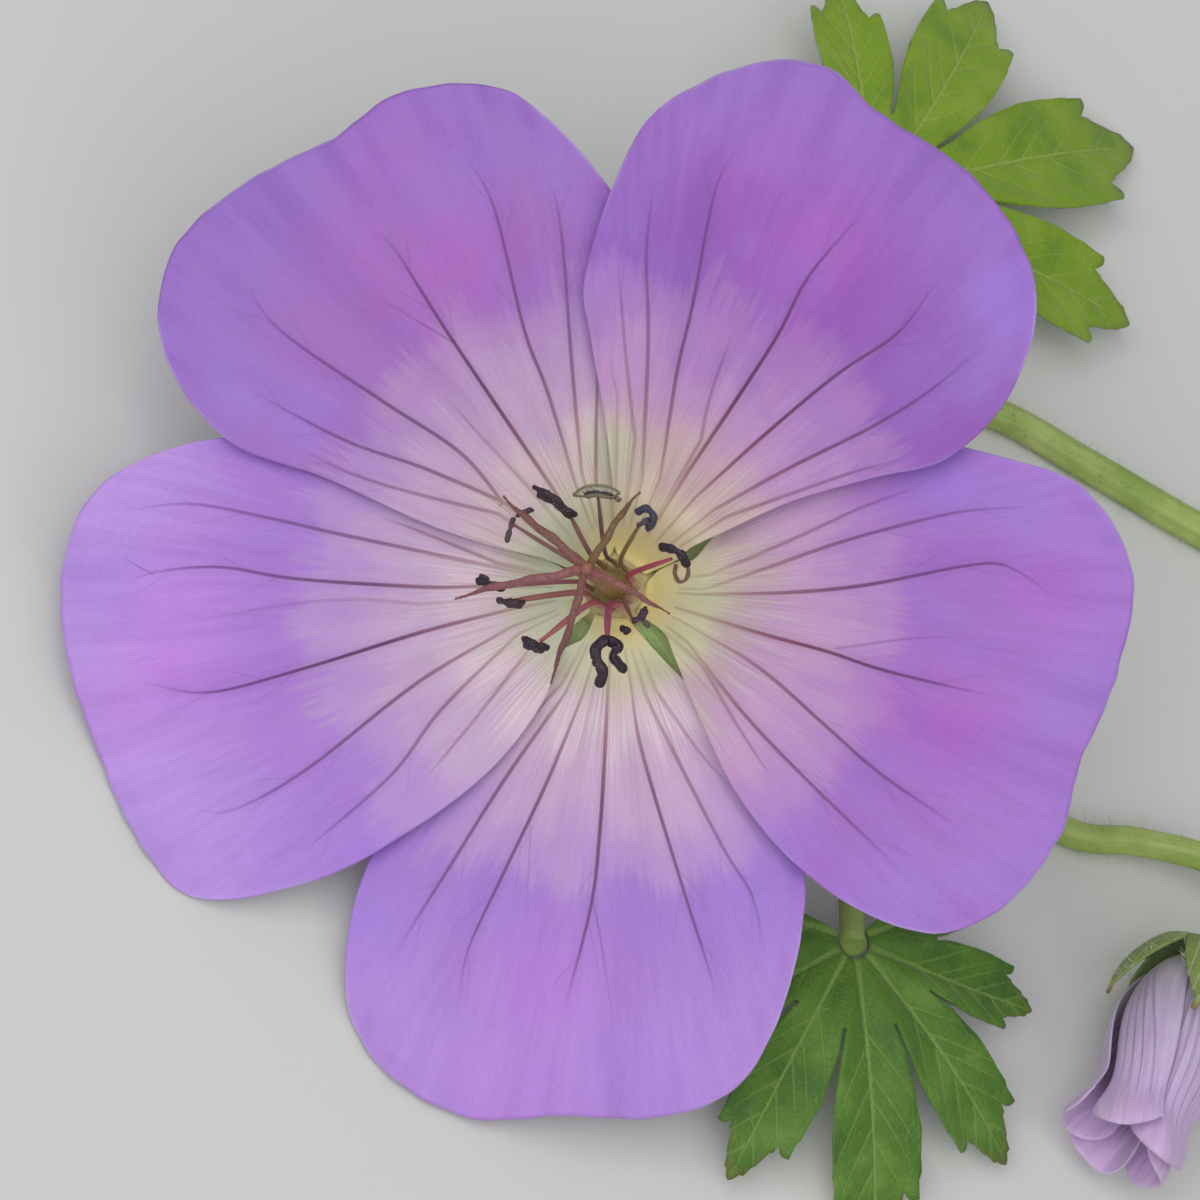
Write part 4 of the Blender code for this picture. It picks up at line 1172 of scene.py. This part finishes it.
def make_pistil(material):
    piece = Piece("fine_pistil")
    heights = np.linspace(COLUMN_FOOT, COLUMN_TOP[2] - 0.1, 50)
    route = np.array([column_axis(height) for height in heights])
    share = even(len(route))
    radii = between(OVARY_RADIUS, STYLE_RADIUS, smooth_step(0.0, 0.5, share))
    route, radii = domed(route, radii * (1 - 0.15 * smooth_step(0.5, 0.9, share)))
    colours = tints((206, 176, 96), len(route), (158, 100, 88))
    piece.add_tube(route, radii, 30, FLOWER, ridges=(5, 0.1), **colours)
    top = np.array(COLUMN_TOP)
    root = top - UP * 0.3
    for tip, (colour, tip_colour, thickness) in zip(np.array(STIGMA_TIPS), STIGMA_ARMS):
        arch = between(top, tip, 0.35) + UP * 0.45
        route = spread(smooth_route((root, arch, tip), 14), 48)
        share = even(len(route))
        beside = unit(np.cross(tip - root, UP))
        sway = waves(share, (0.13, 5.5, tip[0])) * share + waves(share, (0.03, 19, 0.0))
        route = route + beside * sway[:, None]
        route[:, 2] -= 0.3 * smooth_step(0.7, 1.0, share)
        radii = thickness * (1.25 - 0.45 * share) * (1 - 0.7 * smooth_step(0.66, 1.0, share))
        route, radii = domed(route, radii * (1 + waves(share, (0.08, 21, tip[1]), (0.05, 47, 0.0))))
        piece.add_tube(route, radii, 18, FLOWER, 0.85, (2, 0.1), **tints(colour, len(route), tip_colour))
        shares = even(len(route))
        for bead in range(120):
            at = picks.uniform(0.1, 0.97)
            place = np.array([np.interp(at, shares, column) for column in route.T])
            radius = np.interp(at, shares, radii)
            angle = picks.uniform(-0.2, math.pi + 0.2)
            out = beside * math.cos(angle) + UP * math.sin(angle)
            ends = (place + out * radius * 0.6, place + out * (radius + 0.035))
            piece.add_tube(ends, (0.05, 0.025), 5, FLOWER, **tints(colour, 2))
    piece.finish(material, "stigma", "pistil")


# Stems


def flower_stalk_route():
    """The stalk from under the flower to the fork: along the flower's axis, then round to level."""
    seat = flower_frame()
    start = moved(seat, UP * STALK_FROM)
    leave = -np.array(seat.to_3x3().col[2])
    level = unit(leave * (1, 1, 0))
    drop = start[2] - (STALK_RADIUS - PRESSED)
    turn = math.acos(level @ leave)
    straight = max((drop - STALK_BEND * (1 - math.cos(turn))) / math.sin(turn), 0.2)
    corner = start + leave * straight
    bend = [start, corner]
    for step in range(1, 6):
        angle = turn * (1 - step / 5)
        run = STALK_BEND * (math.sin(turn) - math.sin(angle))
        fall = STALK_BEND * (math.cos(angle) - math.cos(turn))
        bend.append(corner + level * run - UP * fall)
    return smooth_route([*bend, FORK], 10)


def stem_material():
    look = Look("stem", 0.5, Subsurface_Weight=0.06, Subsurface_Scale=0.8 * MM)
    patches = look.noise(look.place("flow", 0.25, 0.25, 0.25))
    streaks = look.noise(look.place("lengthways", 5.0, 0.3, 1.0), 1.0, 4.0, 0.6)
    fine = look.noise(look.place("flow", 4.0, 4.0, 4.0))
    rings = look.noise(look.place("flow", 3.0, 3.0, 3.0), 2.0, 2.0)
    look.ground = look.ramp(patches, (0.3, (148, 176, 80)), (0.5, (178, 196, 110)), (0.7, (194, 206, 128)))
    look.paint(streaks.fit(0.42, 0.62, 0.0, 0.45), (150, 176, 82))
    look.paint(look.attribute("red") * patches.fit(0.3, 0.6, 0.6, 1.0), (150, 82, 74))
    look.paint(look.attribute("hair"), (214, 214, 190))
    look.paint(look.attribute("pale"), (214, 200, 138))
    look.paint(look.attribute("cut"), look.ramp(rings, (0.35, (206, 214, 164)), (0.65, (172, 186, 118))))
    return look.done(streaks * 0.8 + fine * 0.35, 0.6, 0.12, Roughness=fine.fit(0.3, 0.7, 0.42, 0.6))


def add_stem(piece, route, radii, red, sides, ridges, hair_count, hair_length):
    """A stalk in the sprig's frame, with a reddish share along it and hairs round it."""
    lengths = path_lengths(route)
    angle = np.concatenate([np.tile(np.arange(sides) / sides * 6.28, len(route)), (0.0, 0.0)])
    run = np.concatenate([np.repeat(lengths, sides), lengths[[0, -1]]])
    lengthways = np.column_stack([np.cos(angle), run, np.sin(angle)])
    piece.add_tube(route, radii, sides, SPRIG, ridges=ridges, red=red, lengthways=lengthways)
    ways = np.gradient(route, axis=0)
    hairs = []
    for hair in range(hair_count):
        at = picks.randrange(1, len(route) - 1)
        way = unit(ways[at])
        free = np.array([picks.uniform(-1, 1) for axis in range(3)])
        free = unit(free - way * (free @ way))
        place = between(route[at], route[at + 1], picks.random()) + free * radii[at] * 0.95
        if place[2] >= LOWEST_HAIR:
            hairs.append((place, free))
    piece.add_hairs(hairs, hair_length, SPRIG)


def add_cup(piece):
    """The cup under the petals, turned from its profile and very slightly five-sided."""
    profile = spread(smooth_route(CUP, 6), (len(CUP) - 1) * 6)
    angles = 2 * np.pi * np.arange(CUP_SIDES) / CUP_SIDES
    radius = np.maximum(profile[:, :1], 0.0) * (1 + 0.025 * np.cos(5 * angles))
    cup = raised(np.stack([radius * np.cos(angles), radius * np.sin(angles)], axis=2), profile[:, 1:])
    piece.add(moved(FLOWER, cup.reshape(-1, 3)), (grid_faces(len(cup), CUP_SIDES, True),), pale=1.0)


def add_stipule(piece, degrees):
    axis = toward(degrees)
    side = left_of(axis)
    s, t = grid_shares(*STIPULE_CELLS)
    u = 2 * s - 1
    half_width = STIPULE_HALF_WIDTH * np.sin(np.pi * (0.15 + 0.85 * t)) ** 0.85 + 0.04
    distance = STIPULE_FROM + STIPULE_LENGTH * t
    flat = axis * distance[..., None] + side * (u * half_width)[..., None]
    lift = 0.4 + 1.6 * np.sin(np.pi * 0.6 * t) - 0.18 * (1 - u * u)
    middle = raised(flat, lift) + FORK
    half = 0.07 + 0.1 * (1 - u * u) * (1 - t)
    piece.add_blade(middle, half, SPRIG, flow=middle, red=0.15 + 0.5 * smooth_step(0.5, 1.0, t))
    hairs = []
    for edge, sign in ((0, -1), (-1, 1)):
        way = np.array((*(side * sign), 0.3))
        hairs += [(place, way) for place in middle[edge, 4:28:3]]
    piece.add_hairs(hairs, 0.55, SPRIG)


def make_stem(material):
    piece = Piece("fine_stem")
    stalk = spread(flower_stalk_route(), 90)
    share = even(len(stalk))
    radii = STALK_RADIUS * (1 + 0.22 * np.exp(-((share / 0.06) ** 2)) + 0.25 * smooth_step(0.93, 1.0, share))
    red = 0.25 * np.exp(-share / 0.2) + 0.4 * smooth_step(0.86, 1.0, share)
    add_stem(piece, stalk, radii, red, 28, (6, 0.045), 260, 0.7)

    stalk = spread(smooth_route((FORK, *BUD_ROUTE, BUD_FOOT), 10), 130)
    share = even(len(stalk))
    swell = 0.3 * (1 - smooth_step(0.0, 0.05, share)) + 0.25 * smooth_step(0.96, 1.0, share)
    red = 0.45 * (1 - smooth_step(0.0, 0.12, share)) + 0.35 * smooth_step(0.85, 1.0, share)
    add_stem(piece, stalk, BUD_STALK_RADIUS * (1 + swell), red, 24, (5, 0.05), 300, 0.65)

    knots = np.linspace(*STEM_RADII, len(STEM_ROUTE))
    lying = [(x, y, radius - PRESSED) for (x, y), radius in zip(STEM_ROUTE, knots)]
    stem = spread(smooth_route((FORK, *lying), 10), 150)
    share = even(len(stem))
    radii = np.linspace(*STEM_RADII, len(stem)) * (1 + 0.3 * (1 - smooth_step(0.0, 0.05, share)))
    red = 0.5 * (1 - smooth_step(0.0, 0.14, share)) + 0.2 * smooth_step(0.6, 1.0, share)
    add_stem(piece, stem, radii, red, 32, (7, 0.04), 420, 0.75)

    way = unit(stem[-1] - stem[-2])
    rims = np.array((0.985, 0.93, 0.8, 0.55, 0.0))
    face = stem[-1] + way * (0.019 - 0.12 * (1 - rims[:, None] ** 2))
    piece.add_tube(face, rims * STEM_RADII[1] + 0.002, 32, SPRIG, ridges=(7, 0.04), cut=1.0)
    piece.add_ball(FORK, (2.25, 1.95, 1.8), 44, SPRIG, red=0.35)
    add_cup(piece)
    for degrees in STIPULES:
        add_stipule(piece, degrees)
    piece.finish(material, "stem", "stem")


# Leaves


def leaf_reach(near, length, cut, tooth):
    """How far out the edge is, by the share of the way from a lobe's middle to its cut."""
    reach = np.interp(near, *zip(*LOBE_EDGE)) * length
    notch = np.abs((near * 9.0 + 0.3) % 1.0 - 0.5) * tooth * length * (1 - smooth_step(0.85, 1.0, near))
    return np.maximum(reach - notch, cut)


def leaf_lines(lobes):
    """Midribs and side veins of a leaf, in its own plane."""
    ribs, twigs = [], []
    share = np.linspace(0, 0.98, 24)
    steps = even(12)[:, None]
    for angle, length in lobes:
        way = toward(angle)
        side = left_of(way)
        bow = picks.uniform(-0.5, 0.5)
        rib = way * (share * length)[:, None] + side * (bow * np.sin(np.pi * share))[:, None]
        ribs.append((rib, 1.0))
        for turn, starts in TWIG_STARTS:
            for start in starts:
                run = 0.28 * length * (1.15 - start) + 1.0
                leave = way * (0.85 + 0.2 * steps) + side * turn * 0.62
                twig = rib[int(start * len(rib))] + leave * steps * run
                off = np.degrees(np.arctan2(np.abs(twig @ side), twig @ way))
                inside = max(int(np.sum(off < 0.86 * LOBE_HALF_ANGLE)), 3)
                twigs.append((twig[:inside], 0.8))
    return ribs, twigs


def make_leaf(name, material):
    shape = LEAVES[name]
    cut, centre = shape["cut"], np.array(shape["centre"])
    per_lobe, rows = LEAF_CELLS
    u = np.linspace(-1, 1, per_lobe + 1)
    near = np.abs(u)
    edges = []
    for angle, length in shape["lobes"]:
        edge = np.stack([angle + u * LOBE_HALF_ANGLE, near, leaf_reach(near, length, cut, shape["tooth"])])
        edges.append(edge[:, :per_lobe])
    edges.append(edge[:, per_lobe:])
    angles, nears, reaches = np.concatenate(edges, axis=1)[..., None]
    t = even(rows + 1)[None, :]
    t = np.where(t < 0.5, 0.5 * (2 * t) ** 0.9, t)
    out = np.where(t < 0.5, 1.0 + (cut - 1.0) * 2 * t, cut + (reaches - cut) * (2 * t - 1))
    turn = np.radians(angles)
    flat = np.stack([np.cos(turn) * out, np.sin(turn) * out], axis=2)
    share = out / max(length for angle, length in shape["lobes"])
    ribs, twigs = leaf_lines(shape["lobes"])
    values = lines_on(flat, ribs, "vein", (0.24, 0.17, 0.06), ((0, 1.0), (0.8, 0.9), (1, 0.2)))
    values.update(lines_on(flat, twigs, "twig", (0.11, 0.09, 0.04), ((0, 1.0), (0.7, 0.8), (1, 0))))
    near_line = np.minimum(values["vein_near"], values["twig_near"])
    puff = LEAF_PUFF * (1 - np.exp(-((near_line / 0.7) ** 2))) - LEAF_PUFF / 2
    lift = LEAF_FURROW * smooth_step(0.0, 1.0, nears) * smooth_step(0.0, 0.4, share)
    lift = lift - (centre[2] - BLADE) * share**LEAF_DROOP + puff * smooth_step(1.5, 4.0, out)
    middle = raised(flat, lift) + centre
    values["flow"] = middle
    values["tip"] = smooth_step(0.94, 1.0, out / reaches) * smooth_step(0.55, 0.0, nears) * 0.7
    piece = Piece("fine_" + name)
    piece.add_blade(middle, 0.09 + 0.1 * (1 - smooth_step(0.8, 1.0, t)), SPRIG, **values)
    route = spread(smooth_route((shape["root"], *shape["stalk"], centre), 12), 60)
    piece.add_tube(route, LEAF_STALK_RADIUS * 0.92, 20, SPRIG, ridges=(5, 0.05), stalk=1.0)
    piece.add_ball(centre, (0.85, 0.85, 0.36), 28, SPRIG, stalk=0.6)
    hairs = []
    for hair in range(160):
        at = picks.randrange(1, len(route) - 2)
        free = np.array([picks.uniform(lowest, 1) for lowest in (-1, -1, -0.4)])
        way = unit(route[at + 1] - route[at])
        free = unit(free - way * (free @ way))
        hairs.append((route[at] + free * LEAF_STALK_RADIUS * 0.88, free))
    piece.add_hairs(hairs, 0.6, SPRIG)
    piece.finish(material, "leaf", name)


# Bud


def bud_frame():
    """The bud's own frame, and its length."""
    foot, tip = Vector(BUD_FOOT), Vector(BUD_TIP)
    turn = (tip - foot).to_track_quat("Z", "Y").to_matrix().to_4x4()
    return SPRIG @ Matrix.Translation(foot) @ turn, (tip - foot).length


def bud_radius(share):
    swell = np.sin(np.pi * np.clip(share, 0.0, 1.0) ** 0.8) ** 0.7
    return BUD_NECK_RADIUS + (BUD_RADIUS - BUD_NECK_RADIUS) * swell * (1 - BUD_TAPER * share)


def bell_radius(share):
    """The half-open petals: furled below, with an open mouth at the tip."""
    furled, mouth = bud_radius(share), MOUTH_RADIUS * smooth_step(0.25, 0.95, share)
    return (furled**6 + mouth**6) ** (1 / 6)


def bud_petal_material():
    sheen = {"Sheen_Weight": 0.3, "Sheen_Roughness": 0.45}
    look = Look("bud_petals", 0.55, Subsurface_Weight=0.1, Subsurface_Scale=0.6 * MM, **sheen)
    streaks = look.noise(look.place("flow", 2.4, 0.25, 1.0), 1.0, 4.0, 0.6)
    patches = look.noise(look.place("flow", 0.3, 0.2, 1.0))
    veins = look.line("vein")
    look.ground = look.ramp(
        look.attribute("run") + (patches - 0.5) * 0.2,
        (0.05, (176, 178, 166)),
        (0.3, (192, 184, 196)),
        (0.55, (204, 183, 216)),
        (0.8, (214, 184, 228)),
        (1.0, (222, 190, 232)),
    )
    look.paint(streaks.fit(0.4, 0.62, 0.0, 0.3), (168, 138, 192))
    look.paint(veins * 0.5, (136, 96, 152))
    look.paint(look.attribute("rim").fit(0.05, 0.3, 0.5, 0.0), (206, 184, 220))
    return look.done(streaks + veins * -0.6, 0.6, 0.16)


def make_bud_petals(material):
    bud, length = bud_frame()
    piece = Piece("fine_bud_petals")
    s, t = grid_shares(*BUD_CELLS)
    turn = 1.5 * s
    edge = np.minimum(np.minimum(s, 1 - s) * 6.0, (1 - t) * 12.0)
    vein_ends = (-2.6, -1.6, -0.8, 0.0, 0.8, 1.6, 2.6)
    lines = [(np.linspace((0.0, 2.0), (end, 12.6), 12), 0.8) for end in vein_ends]
    fade = ((0, 0.4), (0.4, 1.0), (0.85, 0.7), (1, 0))
    for index in range(5):
        last = 0.85 + 0.14 * np.sin(np.pi * np.clip(s, 0.02, 0.98)) ** 0.6 + 0.012 * np.sin(9 * s + 2 * index)
        share = 0.01 + (last - 0.01) * t
        wavy = 1 + 0.025 * np.sin(14 * s + index) * smooth_step(0.7, 1.0, t)
        curl = 0.5 * smooth_step(0.85, 1.5, turn) * smooth_step(0.25, 0.7, share)
        furl = 1 - 1.3 * BUD_GROOVE * turn * np.minimum(3 * share, 1.0) - curl
        radius = bell_radius(share) * furl * wavy - 0.08 + 0.35 * smooth_step(0.8, 1.0, t)
        radius = np.maximum(radius, 0.12)
        angle = 2 * np.pi / 5 * (index + turn) - BUD_TWIST * share
        height = BUD_SEAT + (length - BUD_SEAT) * share
        middle = np.stack([radius * np.cos(angle), radius * np.sin(angle), height], axis=2)
        plane = np.stack([(turn - 0.75) * 5.0 * (0.35 + 0.65 * share), height], axis=2)
        values = lines_on(plane, lines, "vein", (0.08, 0.08, 0.05), fade)
        values["flow"] = np.stack(np.broadcast_arrays(turn * 5.0, height, 8.0 * index), axis=2)
        half = 0.04 + 0.05 * smooth_step(0.0, 0.5, edge)
        piece.add_blade(middle, half, bud, False, run=share, rim=edge, **values)
    piece.finish(material, "petal", "bud_petals")


def make_bud_calyx(material):
    bud, length = bud_frame()
    piece = Piece("fine_bud_calyx")
    across, along = CALYX_CELLS
    s, t = grid_shares(across, along)
    u = 2 * s - 1
    share = CALYX_REACH * t
    narrowing = np.clip((CALYX_REACH - 0.05 - share) / (CALYX_REACH - 0.18), 0.0, 1.0) ** 0.8
    half_angle = math.radians(35) * narrowing + 0.02
    radius = bud_radius(share + 0.04) + 0.62 + 0.9 * (share / CALYX_TIP) ** 2
    radius = between(CALYX_FOOT_RADIUS, radius, smooth_step(0.0, 0.25, 2 * share))
    radius = radius + 0.12 * (1 - u * u) * smooth_step(0.05, 0.3, share)
    height = CALYX_FOOT + (length - BUD_SEAT) * share
    half = 0.08 + 0.08 * (1 - u**4) * (1 - t)
    lines = [(np.linspace((way, 0.3), (way * 0.1, 10.5), 12), 0.9) for way in (-1.8, -0.9, 0.0, 0.9, 1.8)]
    plane = np.stack(np.broadcast_arrays(u * half_angle * radius, height), axis=2)
    values = lines_on(plane, lines, "vein", (0.1, 0.09, 0.05), ((0, 1.0), (0.8, 0.8), (1, 0)))
    values["tip"] = smooth_step(0.9, 1.0, t)
    for index in range(5):
        angle = 2 * np.pi * (0.1 + 0.2 * index) + u * half_angle
        middle = raised(np.stack([radius * np.cos(angle), radius * np.sin(angle)], axis=2), height)
        piece.add_blade(middle, half, bud, False, flow=middle + UP * (20.0 * index), **values)
        hairs = []
        for hair in range(70):
            i = picks.choice((0, across, picks.randrange(across + 1)))
            j = picks.randrange(3, along - 6)
            way = (math.cos(angle[i, j]), math.sin(angle[i, j]), 0.35)
            hairs.append((middle[i, j], unit(np.array(way))))
        piece.add_hairs(hairs, 0.8, bud)
    piece.finish(material, "sepal", "bud_calyx")


def make_bud_stamens(material):
    """The stamens and the young style that show in the mouth of the half-open flower."""
    bud, length = bud_frame()
    piece = Piece("fine_bud_stamens")
    run = np.linspace(-0.75, 0.85, 16)[:, None]
    body = 0.3 * (0.85 + 0.15 * np.cos(np.linspace(-2.6, 2.6, 16)))
    for index in range(10):
        around = toward(36 * index + 10)
        away, reach = BUD_STAMEN_RINGS[index % 2]
        top = reach * length + picks.uniform(-0.3, 0.3)
        stand = np.array([
            (*(around * 0.45), 2.6), (*(around * away * 0.9), 0.5 * top), (*(around * away), top),
        ])
        route = spread(smooth_route(stand, 8), 24)
        colours = tints((214, 196, 170), len(route), (176, 120, 140))
        piece.add_tube(route, np.linspace(0.17, 0.09, len(route)), 10, bud, **colours)
        lean = unit(np.array((*(around * 0.35), 1.0)))
        route, radii = domed(stand[-1] + lean * run, body)
        # The anthers are lighter than their own bluish violet: painted light, so that they show in the shade
        # of the mouth.
        piece.add_tube(route, radii, 16, bud, 0.8, (2, 0.16), **tints((132, 124, 158), len(route)))
    route = spread(smooth_route(((0.0, 0.0, 2.0), (0.05, 0.0, 6.0), (0.0, 0.05, 0.72 * length)), 8), 40)
    share = even(len(route))
    radii = 0.42 - 0.16 * smooth_step(0.2, 0.6, share) + 0.08 * smooth_step(0.8, 1.0, share)
    route, radii = domed(route, radii)
    colours = tints((196, 204, 140), len(route), (178, 116, 126))
    piece.add_tube(route, radii, 20, bud, ridges=(5, 0.16), **colours)
    piece.finish(material, "stamen")


# Stage: floor, light and camera


def make_stage():
    mesh = bpy.data.meshes.new("floor")
    signs = ((-1, -1), (1, -1), (1, 1), (-1, 1))
    mesh.from_pydata([(x * FLOOR_REACH, y * FLOOR_REACH, 0.0) for x, y in signs], [], [(0, 1, 2, 3)])
    mesh.materials.append(Look("floor", 0.9, Base_Color=(0.72, 0.72, 0.7, 1.0)).material)
    new_object("floor", mesh)

    world = bpy.data.worlds.new("soft light")
    world.use_nodes = True
    background = world.node_tree.nodes["Background"]
    background.inputs["Color"].default_value = (0.94, 0.97, 1.0, 1.0)
    background.inputs["Strength"].default_value = 0.31
    bpy.context.scene.world = world
    place_in_flower = Matrix.Translation(Vector(FLOWER.translation) * MM) @ FLOWER.to_3x3().to_4x4()
    for name, place, power in LIGHTS:
        light = bpy.data.lights.new(name, "AREA")
        light.energy = power
        light.size = LIGHT_SIZE
        turn = Vector(place).to_track_quat("Z", "Y").to_matrix().to_4x4()
        new_object(name, light).matrix_world = place_in_flower @ Matrix.Translation(place) @ turn

    scale = PIXEL * MM
    camera_data = bpy.data.cameras.new("camera")
    camera_data.sensor_width = SENSOR
    camera_data.lens = SENSOR / 2 * CAMERA_AWAY / (PHOTO_MIDDLE[0] * scale)
    camera = new_object("camera", camera_data)
    across = (PHOTO_MIDDLE[0] - PHOTO_CENTRE[0]) * scale
    up = (PHOTO_CENTRE[1] - PHOTO_MIDDLE[1]) * scale
    camera.matrix_world = place_in_flower @ Matrix.Translation((across, up, CAMERA_AIM + CAMERA_AWAY))
    bpy.context.scene.camera = camera
    bpy.context.scene.view_settings.view_transform = "Standard"


def main():
    make_petals()
    # The sepals' green is lighter than their underside: partly their own colour, partly painted light against
    # the shade of the petals over them.
    make_sepals(green_material(
        "sepal", ((168, 204, 112), (190, 220, 136), (202, 226, 156)), (208, 226, 170), (124, 150, 80), 0.85,
    ))
    stamens = tinted_material("stamens", 0.42)
    make_stamens(stamens)
    make_pistil(tinted_material("pistil", 0.45))
    make_stem(stem_material())
    make_leaf("leaf_upper", green_material(
        "leaf_upper", ((112, 150, 30), (130, 166, 26), (142, 174, 46)), (158, 184, 78), rust=0.3,
    ))
    make_leaf("leaf_lower", green_material(
        "leaf_lower", ((62, 106, 24), (80, 124, 26), (100, 142, 48)), (130, 162, 74), rust=0.4,
    ))
    make_bud_petals(bud_petal_material())
    make_bud_calyx(green_material(
        "bud_calyx", ((98, 126, 54), (124, 148, 68), (140, 158, 90)), (166, 180, 118),
    ))
    make_bud_stamens(stamens)
    make_stage()


main()
